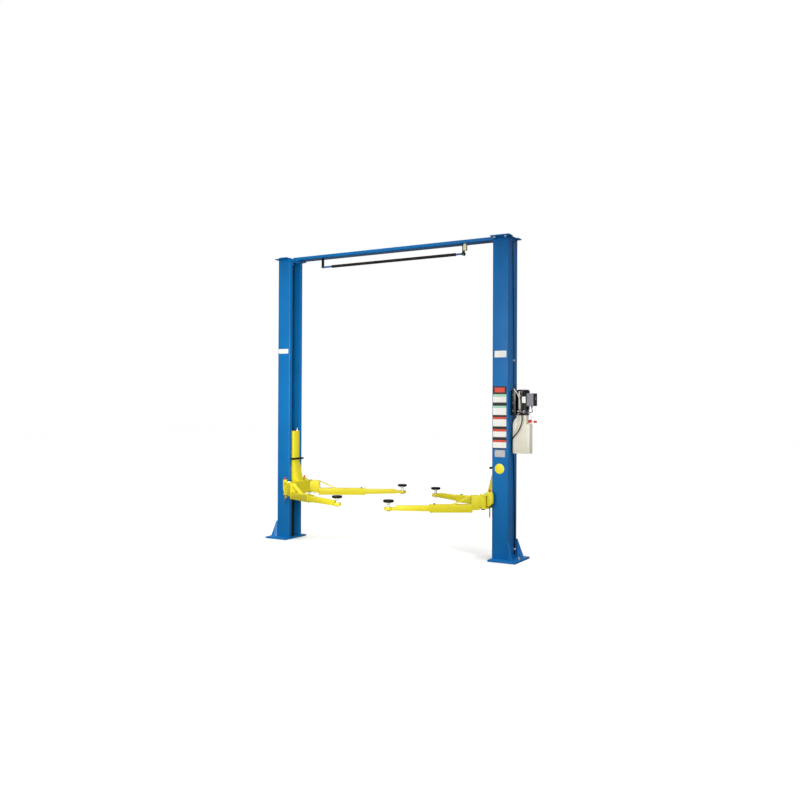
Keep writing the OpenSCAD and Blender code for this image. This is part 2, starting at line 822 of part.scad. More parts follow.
module carriage() {
    difference() {
        union() {
            block(nose_x, nose_back + tower_wall, -nose_half, nose_half, carriage_bottom, carriage_top);
            block(nose_back, tower_back_x, -tower_half, tower_half, carriage_bottom, carriage_top);
            translate([nose_x, nose_half, 0]) rotate([90, 0, 0]) linear_extrude(nose_w)
                polygon([[1, wedge_top], [0, wedge_top], [-wedge_reach, carrier_top], [1, carrier_top]]);
        }
        block(nose_x + tower_wall, tower_back_x - tower_wall, tower_wall - nose_half, nose_half - tower_wall,
              carriage_bottom - 1, carriage_top + 1);
        block(nose_back + tower_wall, tower_back_x - tower_wall, tower_wall - tower_half, tower_half - tower_wall,
              carriage_bottom - 1, carriage_top + 1);
    }
    block(nose_x, nose_x + 45, -nose_half, nose_half, carriage_top - 12, carriage_top);
    upright(nose_x + 20, -35, carriage_top, 8, 40);
    upright(nose_x + 20, -35, carriage_top, 13, 12);
}

module left_carriage() {
    color(YELLOW) on_left() carriage();
}

module right_carriage() {
    color(YELLOW) carriage();
}

module slide_block(z) {
    r = column_bend - column_wall + 1;
    translate([0, 0, z]) linear_extrude(slide_block_h) difference() {
        rounded_area(lip_back_x + slide_gap, web_in_x - slide_gap, tower_half - 20, side_in - slide_gap, r);
        translate([0, tower_half - 21]) square([outer_x, 21]);
    }
}

module slides() {
    mirrored_y() {
        slide_block(carriage_bottom + 10);
        slide_block(carriage_top - slide_block_h - 10);
    }
}

module left_slides() {
    color(BLACK) on_left() slides();
}

module right_slides() {
    color(BLACK) slides();
}

module bumper() {
    block(nose_x - bumper_t, nose_x, -bumper_l / 2, bumper_l / 2, bumper_z - bumper_h / 2, bumper_z + bumper_h / 2);
}

module left_bumper() {
    color(BLACK) on_left() bumper();
}

module right_bumper() {
    color(BLACK) bumper();
}

// Arm carriers with their lock housings

module carrier_plate(z) {
    translate([0, 0, z]) linear_extrude(carrier_t) difference() {
        union() {
            translate([carrier_x0, -pivot_y]) square([carrier_x1 - carrier_x0, pivot_pitch]);
            for (y = [-pivot_y, pivot_y]) {
                translate([pivot_x, y]) circle(carrier_r);
                translate([pivot_x, y - carrier_r]) square([carrier_x1 - pivot_x, 2 * carrier_r]);
            }
        }
        translate([nose_x, -nose_half]) square([column_depth, nose_w]);
    }
}

module ear_slab(points) {
    translate([ear_x0, ear_y1, 0]) rotate([90, 0, 0]) linear_extrude(ear_w) polygon(points);
}

module wide_ear() {
    z0 = ear_top - wide_ear_h;
    l = wide_ear_l;
    ear_slab([
        [0, z0], [0.4 * l, z0], [l, z0 + wide_ear_cut],
        [l, ear_top - wide_ear_cut], [l - 14, ear_top], [0, ear_top]
    ]);
}

module long_ear() {
    z0 = ear_top - long_ear_h;
    l = long_ear_l;
    ear_slab([[0, z0], [0.12 * l, z0], [l, z0 + long_ear_cut], [l, ear_top], [0, ear_top]]);
}

module carrier() {
    web_end = pivot_y - eye_r - 22;
    difference() {
        union() {
            carrier_plate(carrier_z);
            carrier_plate(carrier_top - carrier_t);
            block(carrier_x0, carrier_x0 + carrier_t, -web_end, web_end, carrier_z, carrier_top);
            mirrored_y() {
                block(carrier_x0, nose_x, nose_half - carrier_t, nose_half, carrier_z, carrier_top);
                block(carrier_x0, carrier_x1, web_end - carrier_t, web_end, carrier_z, carrier_top);
            }
            mirror([0, 1, 0]) wide_ear();
            long_ear();
        }
        mirrored_y() {
            upright(pivot_x, pivot_y, carrier_z - 1, pivot_r + pin_gap, carrier_h + 2);
            upright(lock_x, lock_y, ear_top - long_ear_h - 1, lock_r + pin_gap, long_ear_h + 2);
        }
    }
}

module left_carrier() {
    color(YELLOW) on_left() carrier();
}

module right_carrier() {
    color(YELLOW) carrier();
}

module pivot_pins() {
    mirrored_y() {
        upright(pivot_x, pivot_y, carrier_z - 13, pivot_r, carrier_h + 13);
        upright(pivot_x, pivot_y, carrier_top, pivot_r + 7, 7);
        translate([pivot_x, pivot_y, carrier_z - 13]) cylinder(r = pivot_r + 9, h = 13, $fn = 6);
    }
}

module left_pivot_pins() {
    color(STEEL) on_left() pivot_pins();
}

module right_pivot_pins() {
    color(STEEL) pivot_pins();
}

module lock_pins() {
    mirrored_y() {
        upright(lock_x, lock_y, lock_foot, lock_r, ear_top - lock_foot + 8);
        translate([lock_x, lock_y, ear_top + ball_r + 3]) sphere(r = ball_r);
    }
}

module left_lock_pins() {
    color(RED) on_left() lock_pins();
}

module right_lock_pins() {
    color(RED) lock_pins();
}

// Swing arms, drawn along +X from the pivot and then put on their own pivot

module on_arm(x_side, y_side, angle) {
    translate([x_side * pivot_x, y_side * pivot_y, 0])
        mirror([x_side > 0 ? 1 : 0, 0, 0]) mirror([0, y_side < 0 ? 1 : 0, 0])
            rotate([0, 0, angle]) children();
}

module arm(tube_end) {
    tube_top = tube_z + tube_h;
    root_top = root_z + root_h;
    difference() {
        union() {
            upright(0, 0, eye_z, eye_r, eye_h);
            block(0, root_start + 1, -eye_r + 2, eye_r - 2, eye_z, eye_z + eye_h);
            block(root_start, root_end, -root_w / 2, root_w / 2, root_z, root_top);
            block(root_end - 12, root_end, -tube_w / 2, tube_w / 2, tube_z, root_top);
            block(root_end - 1, tube_end, -tube_w / 2, tube_w / 2, tube_z, tube_top);
            block(tube_end - 20, tube_end, -tube_w / 2 - 2, tube_w / 2 + 2, tube_z - 2, tube_top + 2);
            translate([0, brace_w / 2, 0]) rotate([90, 0, 0]) linear_extrude(brace_w)
                polygon([[root_end - 8, root_top], [brace_end, tube_top], [brace_end - 22, tube_top - 1],
                         [root_end - 8, root_top - 1.5 * brace_t]]);
        }
        upright(0, 0, eye_z - 1, pivot_r + pin_gap, eye_h + 2);
        block(root_end, tube_end + 1, tube_wall - tube_w / 2, tube_w / 2 - tube_wall,
              tube_z + tube_wall + wear_t, tube_top - tube_wall);
    }
}

module left_rear_arm() {
    color(YELLOW) on_arm(-1, 1, left_rear_angle) arm(rear_tube_end);
}

module left_front_arm() {
    color(YELLOW) on_arm(-1, -1, left_front_angle) arm(front_tube_end);
}

module right_front_arm() {
    color(YELLOW) on_arm(1, -1, right_front_angle) arm(front_tube_end);
}

module right_rear_arm() {
    color(YELLOW) on_arm(1, 1, right_rear_angle) arm(rear_tube_end);
}

// Side view of the inner tube or of its hollow, with the underside rising towards the tip

module tapered_bar(x0, x1, bend_x, half, z0, z1, rise) {
    translate([0, half, 0]) rotate([90, 0, 0]) linear_extrude(2 * half)
        polygon([[x0, z0], [bend_x, z0], [x1, z0 + rise], [x1, z1], [x0, z1]]);
}

module extension(inner_l, reach) {
    end = reach - yoke_reach;
    start = end - inner_l;
    bend = end - taper_l;
    z1 = inner_z + inner_h;
    difference() {
        union() {
            difference() {
                tapered_bar(start, end, bend, inner_w / 2, inner_z, z1, inner_taper);
                tapered_bar(start - 1, end - 8, bend, inner_w / 2 - inner_wall,
                            inner_z + inner_wall, z1 - inner_wall, inner_taper);
            }
            block(end - 1, reach, -inner_w / 2 + 4, inner_w / 2 - 4, yoke_z, yoke_z + yoke_t);
            upright(reach, 0, yoke_z, yoke_r, yoke_t);
        }
        upright(reach, 0, yoke_z - 1, screw_r + pin_gap, yoke_t + 2);
    }
}

module left_rear_extension() {
    color(YELLOW) on_arm(-1, 1, left_rear_angle) extension(rear_inner_l, left_rear_reach);
}

module left_front_extension() {
    color(YELLOW) on_arm(-1, -1, left_front_angle) extension(front_inner_l, left_front_reach);
}

module right_front_extension() {
    color(YELLOW) on_arm(1, -1, right_front_angle) extension(front_inner_l, right_front_reach);
}

module right_rear_extension() {
    color(YELLOW) on_arm(1, 1, right_rear_angle) extension(rear_inner_l, right_rear_reach);
}

module screw(reach) {
    foot = yoke_z - slide_gap - stop_t;
    upright(reach, 0, foot, screw_r, pad_top - pad_t - foot);
    upright(reach, 0, pad_top - pad_t - flange_t, flange_r, flange_t);
    translate([reach, 0, foot]) cylinder(r = stop_r, h = stop_t, $fn = 6);
}

module left_rear_screw() {
    color(STEEL) on_arm(-1, 1, left_rear_angle) screw(left_rear_reach);
}

module left_front_screw() {
    color(STEEL) on_arm(-1, -1, left_front_angle) screw(left_front_reach);
}

module right_front_screw() {
    color(STEEL) on_arm(1, -1, right_front_angle) screw(right_front_reach);
}

module right_rear_screw() {
    color(STEEL) on_arm(1, 1, right_rear_angle) screw(right_rear_reach);
}

module pad(reach) {
    upright(reach, 0, pad_top - pad_t, pad_r, pad_t);
}

module left_rear_pad() {
    color(BLACK) on_arm(-1, 1, left_rear_angle) pad(left_rear_reach);
}

module left_front_pad() {
    color(BLACK) on_arm(-1, -1, left_front_angle) pad(left_front_reach);
}

module right_front_pad() {
    color(BLACK) on_arm(1, -1, right_front_angle) pad(right_front_reach);
}

module right_rear_pad() {
    color(BLACK) on_arm(1, 1, right_rear_angle) pad(right_rear_reach);
}

left_column();
right_column();
left_base();
right_base();
top_plates();
overhead_beam();
beam_brackets();
anchor_bolts();
bar_straps();
limit_switch();
shutoff_rod();
shutoff_padding();
lift_cylinders();
motor_bracket();
pump_motor();
control_box();
pump_block();
oil_tank();
filler_cap();
release_lever();
pressure_hose();
switch_cable();
cable_clips();
left_carriage();
right_carriage();
left_slides();
right_slides();
left_carrier();
right_carrier();
left_bumper();
right_bumper();
left_pivot_pins();
right_pivot_pins();
left_lock_pins();
right_lock_pins();
left_rear_arm();
left_front_arm();
right_front_arm();
right_rear_arm();
left_rear_extension();
left_front_extension();
right_front_extension();
right_rear_extension();
left_rear_screw();
left_front_screw();
right_front_screw();
right_rear_screw();
left_rear_pad();
left_front_pad();
right_front_pad();
right_rear_pad();
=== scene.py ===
# Looks of the two post car lift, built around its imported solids
import json
import math
import bpy
from mathutils import Matrix, Vector


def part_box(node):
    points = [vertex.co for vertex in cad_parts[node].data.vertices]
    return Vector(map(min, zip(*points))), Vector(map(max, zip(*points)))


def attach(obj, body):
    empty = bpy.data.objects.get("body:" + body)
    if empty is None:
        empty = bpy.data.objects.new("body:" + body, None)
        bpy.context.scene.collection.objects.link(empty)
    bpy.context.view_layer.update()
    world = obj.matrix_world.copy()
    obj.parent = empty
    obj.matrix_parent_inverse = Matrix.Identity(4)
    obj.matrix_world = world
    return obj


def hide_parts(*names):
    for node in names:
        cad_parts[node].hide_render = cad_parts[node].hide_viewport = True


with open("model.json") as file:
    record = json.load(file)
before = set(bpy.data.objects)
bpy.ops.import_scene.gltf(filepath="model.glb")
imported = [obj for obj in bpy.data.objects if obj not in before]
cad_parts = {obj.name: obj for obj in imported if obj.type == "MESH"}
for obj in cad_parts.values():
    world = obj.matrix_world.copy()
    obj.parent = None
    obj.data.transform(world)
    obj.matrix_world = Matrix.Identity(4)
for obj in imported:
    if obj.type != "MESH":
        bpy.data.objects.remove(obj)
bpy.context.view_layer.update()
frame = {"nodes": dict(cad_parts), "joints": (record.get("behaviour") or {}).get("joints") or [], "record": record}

BODY_OF = {node: body for body, nodes in frame["record"]["behaviour"]["bodies"].items() for node in nodes}
SLOT_OF = {part["node"]: part["material_slot"] for part in frame["record"]["subparts"]}
JOINT_AT = {joint["name"]: joint for joint in frame["joints"]}
SIDES = ("left", "right")
ARMS = ("left_rear", "left_front", "right_front", "right_rear")
HALF_TURN = Matrix.Rotation(math.pi, 4, "Z")


# Camera, light and floor

def set_camera():
    lens = bpy.data.cameras.new("photo_camera")
    lens.lens = 37.34
    lens.sensor_width = 36
    lens.clip_end = 200
    camera = bpy.data.objects.new("photo_camera", lens)
    bpy.context.scene.collection.objects.link(camera)
    yaw, pitch, roll = 0.523705, -0.0063178, 0.0044468
    right = Vector((math.cos(yaw), math.sin(yaw), 0))
    ahead = Vector((-math.sin(yaw), math.cos(yaw), 0))
    sky = Vector((0, 0, 1))
    ahead_tilted = math.cos(pitch) * ahead - math.sin(pitch) * sky
    sky_tilted = math.sin(pitch) * ahead + math.cos(pitch) * sky
    right_rolled = math.cos(roll) * right + math.sin(roll) * sky_tilted
    sky_rolled = -math.sin(roll) * right + math.cos(roll) * sky_tilted
    turn = Matrix((right_rolled, sky_rolled, -ahead_tilted)).transposed().to_4x4()
    camera.matrix_world = Matrix.Translation((5.20478, -8.75093, 1.74365)) @ turn
    bpy.context.scene.camera = camera


def soft_light(name, place, target, size, power, tint=(1, 1, 1), spread=180):
    lamp = bpy.data.lights.new(name, "AREA")
    lamp.shape = "RECTANGLE"
    lamp.size, lamp.size_y = size
    lamp.energy = power
    lamp.color = tint
    lamp.spread = math.radians(spread)
    holder = bpy.data.objects.new(name, lamp)
    bpy.context.scene.collection.objects.link(holder)
    holder.location = place
    holder.rotation_euler = (Vector(target) - Vector(place)).to_track_quat("-Z", "Y").to_euler()
    holder.visible_camera = False


def camera_ray_share(tree):
    return tree.nodes.new("ShaderNodeLightPath").outputs["Is Camera Ray"]


def set_studio():
    scene = bpy.context.scene
    scene.view_settings.view_transform = "Standard"
    world = bpy.data.worlds.new("studio")
    world.use_nodes = True
    backdrop = world.node_tree.nodes["Background"]
    backdrop.inputs["Color"].default_value = (1, 1, 1, 1)
    strength = world.node_tree.nodes.new("ShaderNodeMapRange")
    strength.inputs["To Min"].default_value = 0.30
    strength.inputs["To Max"].default_value = 1.0
    world.node_tree.links.new(camera_ray_share(world.node_tree), strength.inputs["Value"])
    world.node_tree.links.new(strength.outputs["Result"], backdrop.inputs["Strength"])
    scene.world = world
    soft_light("front_light", (1.2, -9, 4.6), (0, 0, 1.7), (5, 4), 310)
    soft_light("middle_light", (0.9, -3.6, 2.0), (-1.4, 0, 1.5), (1.0, 3.4), 62, (1, 0.95, 0.84), 100)
    soft_light("unit_light", (3.4, -1.2, 1.3), (1.85, 0, 1.35), (0.3, 0.3), 20)
    overhead = bpy.data.lights.new("overhead_light", "SUN")
    overhead.energy = 2.5
    overhead.angle = math.radians(50)
    holder = bpy.data.objects.new("overhead_light", overhead)
    scene.collection.objects.link(holder)
    bpy.ops.mesh.primitive_plane_add(size=80, location=(0, 0, -0.0015))
    floor = bpy.context.object
    floor.name = "studio_floor"
    paper = bpy.data.materials.new("studio_floor")
    paper.use_nodes = True
    shader = paper.node_tree.nodes["Principled BSDF"]
    shader.inputs["Roughness"].default_value = 0.7
    shade = paper.node_tree.nodes.new("ShaderNodeMix")
    shade.data_type = "RGBA"
    shade.inputs["A"].default_value = (0.12, 0.12, 0.12, 1)
    shade.inputs["B"].default_value = (0.97, 0.97, 0.97, 1)
    paper.node_tree.links.new(camera_ray_share(paper.node_tree), shade.inputs["Factor"])
    paper.node_tree.links.new(shade.outputs["Result"], shader.inputs["Base Color"])
    floor.data.materials.append(paper)


# Finishes

def linear(red, green, blue):
    def one(value):
        value /= 255
        return value / 12.92 if value <= 0.04045 else ((value + 0.055) / 1.055) ** 2.4
    return (one(red), one(green), one(blue), 1)


class Finish:
    """A material with its colour, gloss and surface drawn by nodes over Object coordinates."""

    def __init__(self, name, roughness=0.5, metallic=0.0, coat=0.0, specular=0.5):
        self.material = bpy.data.materials.new(name)
        self.material.use_nodes = True
        self.tree = self.material.node_tree
        self.shader = self.tree.nodes["Principled BSDF"]
        self.shader.inputs["Roughness"].default_value = roughness
        self.shader.inputs["Metallic"].default_value = metallic
        self.shader.inputs["Coat Weight"].default_value = coat
        self.shader.inputs["Coat Roughness"].default_value = 0.12
        self.shader.inputs["Specular IOR Level"].default_value = specular
        self.place = self.node("ShaderNodeTexCoord").outputs["Object"]

    def node(self, kind, **settings):
        made = self.tree.nodes.new(kind)
        for key, value in settings.items():
            setattr(made, key, value)
        return made

    def stretched(self, scale):
        mapping = self.node("ShaderNodeMapping")
        mapping.inputs["Scale"].default_value = scale
        self.tree.links.new(self.place, mapping.inputs["Vector"])
        return mapping.outputs["Vector"]

    def noise(self, scale, detail=3.0, stretch=None, roughness=0.5):
        made = self.node("ShaderNodeTexNoise")
        made.inputs["Scale"].default_value = scale
        made.inputs["Detail"].default_value = detail
        made.inputs["Roughness"].default_value = roughness
        self.tree.links.new(self.stretched(stretch) if stretch else self.place, made.inputs["Vector"])
        return made.outputs["Fac"]

    def between(self, source, low, high, to_low=0.0, to_high=1.0):
        made = self.node("ShaderNodeMapRange")
        for name, value in zip(("From Min", "From Max", "To Min", "To Max"), (low, high, to_low, to_high)):
            made.inputs[name].default_value = value
        self.tree.links.new(source, made.inputs["Value"])
        return made.outputs["Result"]

    def blended(self, share, first, second):
        made = self.node("ShaderNodeMix", data_type="RGBA")
        self.tree.links.new(share, made.inputs["Factor"])
        for value, socket in ((first, made.inputs["A"]), (second, made.inputs["B"])):
            if hasattr(value, "is_output"):
                self.tree.links.new(value, socket)
            else:
                socket.default_value = value
        return made.outputs["Result"]

    def colour(self, source):
        if hasattr(source, "is_output"):
            self.tree.links.new(source, self.shader.inputs["Base Color"])
        else:
            self.shader.inputs["Base Color"].default_value = source

    def gloss(self, source):
        self.tree.links.new(source, self.shader.inputs["Roughness"])

    def relief(self, source, depth, strength=1.0):
        made = self.node("ShaderNodeBump")
        made.inputs["Distance"].default_value = depth
        made.inputs["Strength"].default_value = strength
        self.tree.links.new(source, made.inputs["Height"])
        self.tree.links.new(made.outputs["Normal"], self.shader.inputs["Normal"])


def powder_coat(name, shade, deep, pale, roughness=0.36, coat=0.25, specular=0.5):
    made = Finish(name, roughness, coat=coat, specular=specular)
    drift = made.between(made.noise(1.7, 4), 0.35, 0.65)
    body = made.blended(drift, shade, deep)
    fleck = made.between(made.noise(420, 2), 0.66, 0.78, 0, 0.35)
    made.colour(made.blended(fleck, body, pale))
    made.gloss(made.between(made.noise(9, 4), 0.3, 0.7, roughness - 0.06, roughness + 0.1))
    made.relief(made.noise(260, 2), 0.0004, 0.35)
    return made.material


def rubber(name, shade, worn, grain=900):
    made = Finish(name, 0.62, specular=0.2)
    made.colour(made.blended(made.between(made.noise(14, 5), 0.42, 0.72), shade, worn))
    made.gloss(made.between(made.noise(60, 3), 0.3, 0.7, 0.5, 0.8))
    made.relief(made.noise(grain, 2), 0.0003, 0.5)
    return made.material


def plated_steel(name, shade, dull, roughness=0.24, turning=(1, 1, 24), metallic=1.0):
    made = Finish(name, roughness, metallic=metallic)
    made.colour(made.blended(made.between(made.noise(30, 4), 0.35, 0.7), shade, dull))
    made.gloss(made.between(made.noise(45, 3, turning), 0.3, 0.7, roughness - 0.06, roughness + 0.14))
    made.relief(made.noise(90, 3, turning), 0.0001, 0.4)
    return made.material


def moulded(name, shade, deep, roughness=0.42, grain=700, glow=0.0):
    made = Finish(name, roughness)
    made.colour(made.blended(made.between(made.noise(6, 3), 0.35, 0.7), shade, deep))
    made.gloss(made.between(made.noise(25, 3), 0.3, 0.7, roughness - 0.05, roughness + 0.1))
    made.relief(made.noise(grain, 2), 0.0002, 0.35)
    if glow:
        made.shader.inputs["Subsurface Weight"].default_value = glow
        made.shader.inputs["Subsurface Radius"].default_value = (1, 0.9, 0.7)
        made.shader.inputs["Subsurface Scale"].default_value = 0.012
    return made.material


BLUE = powder_coat("blue_coat", linear(12, 108, 176), linear(12, 100, 166), linear(30, 126, 192), 0.38,
                   0.03, 0.22)
YELLOW = powder_coat("yellow_coat", linear(216, 206, 44), linear(210, 197, 38), linear(230, 220, 92), 0.42,
                     0.05, 0.3)
BLACK_COAT = powder_coat("black_coat", linear(9, 9, 10), linear(6, 6, 7), linear(26, 26, 28), 0.28, 0.3,
                         0.35)
RUBBER = rubber("pad_rubber", linear(8, 8, 9), linear(20, 19, 19))
FOAM = rubber("bar_foam", linear(26, 24, 23), linear(48, 44, 40), 500)
HOSE = rubber("hose_rubber", linear(6, 6, 6), linear(16, 15, 14), 1200)
NYLON = moulded("slide_nylon", linear(30, 30, 30), linear(20, 20, 20), 0.45)
STEEL = plated_steel("bright_plate", (0.74, 0.75, 0.78, 1), (0.6, 0.61, 0.64, 1))
WHITE_ZINC = plated_steel("white_zinc", (0.93, 0.93, 0.95, 1), (0.84, 0.84, 0.87, 1), 0.3, (1, 1, 1), 0.6)
DARK_STEEL = plated_steel("dark_steel", (0.16, 0.15, 0.15, 1), (0.1, 0.095, 0.09, 1), 0.4)
CHROME = plated_steel("rod_chrome", (0.82, 0.83, 0.85, 1), (0.74, 0.75, 0.77, 1), 0.12, (1, 1, 1))
GOLD_ZINC = plated_steel("yellow_zinc", (0.78, 0.6, 0.26, 1), (0.66, 0.55, 0.36, 1), 0.3)
RED = moulded("red_knob", linear(218, 38, 32), linear(200, 28, 24), 0.28, 300)
CREAM = moulded("cream_switch", linear(238, 226, 196), linear(226, 212, 180), 0.4)
TANK = moulded("tank_plastic", linear(226, 224, 208), linear(218, 214, 194), 0.38, 300, 0.35)
GREY_CASE = moulded("grey_case", linear(142, 145, 150), linear(128, 131, 136), 0.45)
BLACK_CASE = moulded("black_case", linear(8, 8, 9), linear(14, 14, 15), 0.45)
LABEL_WHITE = moulded("label_white", linear(236, 236, 232), linear(226, 226, 222), 0.35, 200)
LABEL_BLACK = moulded("label_black", linear(14, 14, 16), linear(20, 20, 22), 0.45, 200)
LABEL_RED = moulded("label_red", linear(222, 74, 50), linear(212, 64, 44), 0.35, 200)
LABEL_GREEN = moulded("label_green", linear(160, 218, 190), linear(150, 208, 180), 0.35, 200)
LABEL_SILVER = plated_steel("label_silver", (0.5, 0.5, 0.52, 1), (0.42, 0.42, 0.44, 1), 0.4, (1, 1, 1), 0.3)
LABEL_YELLOW = moulded("label_yellow", linear(238, 228, 50), linear(230, 218, 44), 0.35, 200)


# Workshop tools

def let_go():
    if bpy.context.object and bpy.context.object.mode != "OBJECT":
        bpy.ops.object.mode_set(mode="OBJECT")
    bpy.ops.object.select_all(action="DESELECT")


def take(piece):
    let_go()
    piece.select_set(True)
    bpy.context.view_layer.objects.active = piece


def open_mesh(piece, mode="FACE", action="SELECT"):
    take(piece)
    bpy.ops.object.mode_set(mode="EDIT")
    bpy.ops.mesh.select_mode(type=mode)
    bpy.ops.mesh.select_all(action=action)


def close_mesh():
    bpy.ops.object.mode_set(mode="OBJECT")


def pick_faces(piece, wanted):
    open_mesh(piece, "FACE", "DESELECT")
    close_mesh()
    for face in piece.data.polygons:
        face.select = bool(wanted(face.center, face.normal))
    bpy.ops.object.mode_set(mode="EDIT")


def settled(piece, name=None):
    take(piece)
    bpy.ops.object.transform_apply(location=True, rotation=True, scale=True)
    if name:
        piece.name = name
        piece.data.name = name
    return piece


def smoothed(piece, angle=35):
    take(piece)
    bpy.ops.object.shade_smooth_by_angle(angle=math.radians(angle))
    return piece


def with_modifier(piece, kind, **settings):
    take(piece)
    modifier = piece.modifiers.new(kind.lower(), kind)
    for key, value in settings.items():
        setattr(modifier, key, value)
    bpy.ops.object.modifier_apply(modifier=modifier.name)
    return piece


def moved(piece, matrix):
    piece.data.transform(matrix)
    if matrix.determinant() < 0:
        piece.data.flip_normals()
    return piece


def copied(piece, name, matrix=None):
    twin = bpy.data.objects.new(name, piece.data.copy())
    twin.data.name = name
    bpy.context.scene.collection.objects.link(twin)
    return moved(twin, matrix) if matrix else twin


def joined(name, pieces):
    let_go()
    for piece in pieces:
        piece.select_set(True)
    bpy.context.view_layer.objects.active = pieces[0]
    if len(pieces) > 1:
        bpy.ops.object.join()
    made = bpy.context.view_layer.objects.active
    made.name = name
    made.data.name = name
    return made


def turned(name, steps, sides=32, place=(0, 0, 0), along="Z", smooth=35):
    """A piece turned on a lathe: its end face is drawn up and scaled from step to step."""
    let_go()
    radius, height = steps[0]
    bpy.ops.mesh.primitive_circle_add(vertices=sides, radius=radius, fill_type="NGON",
                                      location=(0, 0, height))
    piece = bpy.context.object
    open_mesh(piece)
    for next_radius, next_height in steps[1:]:
        bpy.ops.mesh.extrude_region_move(TRANSFORM_OT_translate={"value": (0, 0, next_height - height)})
        share = next_radius / radius
        bpy.ops.transform.resize(value=(share, share, 1), center_override=(0, 0, next_height))
        radius, height = next_radius, next_height
    bpy.ops.mesh.select_all(action="SELECT")
    bpy.ops.mesh.normals_make_consistent(inside=False)
    close_mesh()
    settled(piece, name)
    lay = {"Z": Matrix.Identity(4), "X": Matrix.Rotation(math.pi / 2, 4, "Y"),
           "Y": Matrix.Rotation(-math.pi / 2, 4, "X"), "-Y": Matrix.Rotation(math.pi / 2, 4, "X"),
           "-Z": Matrix.Rotation(math.pi, 4, "X"), "-X": Matrix.Rotation(-math.pi / 2, 4, "Y")}[along]
    moved(piece, Matrix.Translation(place) @ lay)
    return smoothed(piece, smooth)


def boxed(name, low, high, edge=0.002, segments=2):
    """A block cut to two corners with all its edges rounded."""
    let_go()
    low, high = Vector(low), Vector(high)
    bpy.ops.mesh.primitive_cube_add(size=1, location=(low + high) / 2)
    piece = bpy.context.object
    piece.scale = high - low
    settled(piece, name)
    open_mesh(piece, "EDGE")
    bpy.ops.mesh.bevel(offset=edge, segments=segments, affect="EDGES")
    close_mesh()
    return smoothed(piece)


def recessed(piece, wanted, rim, depth):
    pick_faces(piece, wanted)
    bpy.ops.mesh.inset(thickness=rim, depth=0)
    bpy.ops.mesh.inset(thickness=0.0004, depth=-depth)
    close_mesh()
    return smoothed(piece)


def drawn_tube(name, points, radius, resolution=3, radii=None, closed=False):
    curve = bpy.data.curves.new(name, "CURVE")
    curve.dimensions = "3D"
    curve.bevel_depth = radius
    curve.bevel_resolution = resolution
    curve.use_fill_caps = True
    spline = curve.splines.new("POLY")
    spline.points.add(len(points) - 1)
    for index, point in enumerate(points):
        spline.points[index].co = (*point, 1)
        spline.points[index].radius = radii[index] if radii else 1
    spline.use_cyclic_u = closed
    piece = bpy.data.objects.new(name, curve)
    bpy.context.scene.collection.objects.link(piece)
    take(piece)
    bpy.ops.object.convert(target="MESH")
    piece = bpy.context.view_layer.objects.active
    open_mesh(piece)
    bpy.ops.mesh.remove_doubles(threshold=0.00001)
    bpy.ops.mesh.normals_make_consistent(inside=False)
    close_mesh()
    return smoothed(settled(piece, name), 60)


def smooth_route(points, steps=4):
    points = [Vector(point) for point in points]
    made = []
    for index in range(len(points) - 1):
        before, start = points[max(index - 1, 0)], points[index]
        end, after = points[index + 1], points[min(index + 2, len(points) - 1)]
        for step in range(steps):
            t = step / steps
            made.append(0.5 * (2 * start + (end - before) * t + (2 * before - 5 * start + 4 * end - after) * t * t
                               + (3 * start - before - 3 * end + after) * t ** 3))
    return made + [points[-1]]


def weld_bead(name, corners, radius=0.0035, closed=False):
    """A rippled bead laid along straight runs between corners."""
    corners = [Vector(corner) for corner in corners]
    runs = list(zip(corners, corners[1:] + corners[:1] if closed else corners[1:]))
    points, radii = [], []
    for start, end in runs:
        count = max(2, int((end - start).length / 0.005))
        for step in range(count):
            points.append(start.lerp(end, step / count))
            radii.append(1.0 if len(points) % 2 else 0.82)
    if not closed:
        points.append(corners[-1])
        radii.append(0.7)
    return drawn_tube(name, points, radius, 1, radii, closed)


def hex_bolt(name, radius, head, place, along="Z", washer=0.0025):
    """A hexagon head on its washer, standing on the face at place."""
    ring = turned(name + "_washer", [(radius * 1.45, 0), (radius * 1.5, washer * 0.3),
                                     (radius * 1.5, washer * 0.8),
                                     (radius * 1.42, washer)], 20, place, along)
    nut = turned(name, [(radius * 0.96, washer), (radius, washer + head * 0.08),
                        (radius, washer + head * 0.82),
                        (radius * 0.86, washer + head), (radius * 0.5, washer + head),
                        (radius * 0.46, washer + head * 0.96)], 6, place, along, 20)
    return joined(name, [nut, ring])


def dressed(node, name, edge=0.0015, segments=2, angle=40):
    """A merged copy of a solid with its sharp edges rounded over."""
    source = frame["nodes"][node]
    piece = bpy.data.objects.new(name, source.data.copy())
    piece.data.name = name
    bpy.context.scene.collection.objects.link(piece)
    piece.data.materials.clear()
    open_mesh(piece)
    bpy.ops.mesh.remove_doubles(threshold=0.00002)
    bpy.ops.mesh.dissolve_limited(angle_limit=math.radians(0.6))
    close_mesh()
    if edge:
        with_modifier(piece, "BEVEL", width=edge, segments=segments, limit_method="ANGLE",
                      angle_limit=math.radians(angle), use_clamp_overlap=True, harden_normals=False)
    return smoothed(piece, 35)


def fitted(piece, material, body, slot, *nodes):
    piece.data.materials.clear()
    piece.data.materials.append(material)
    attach(piece, body)
    if nodes:
        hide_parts(*nodes)
    return piece


def dressed_node(node, material, edge=0.0015, segments=2, angle=40):
    return fitted(dressed(node, node + "_finished", edge, segments, angle), material, BODY_OF[node],
                  SLOT_OF[node], node)


def both_sides(name, piece, material, slot, body="{}_lift"):
    """Puts a piece drawn for the right side there, and a copy turned half round on the left."""
    left = copied(piece, "left_" + name, HALF_TURN)
    piece.name = piece.data.name = "right_" + name
    fitted(left, material, body.format("left"), slot)
    fitted(piece, material, body.format("right"), slot)
    return left, piece


set_camera()
set_studio()


# Frame: columns, bases, caps and beam

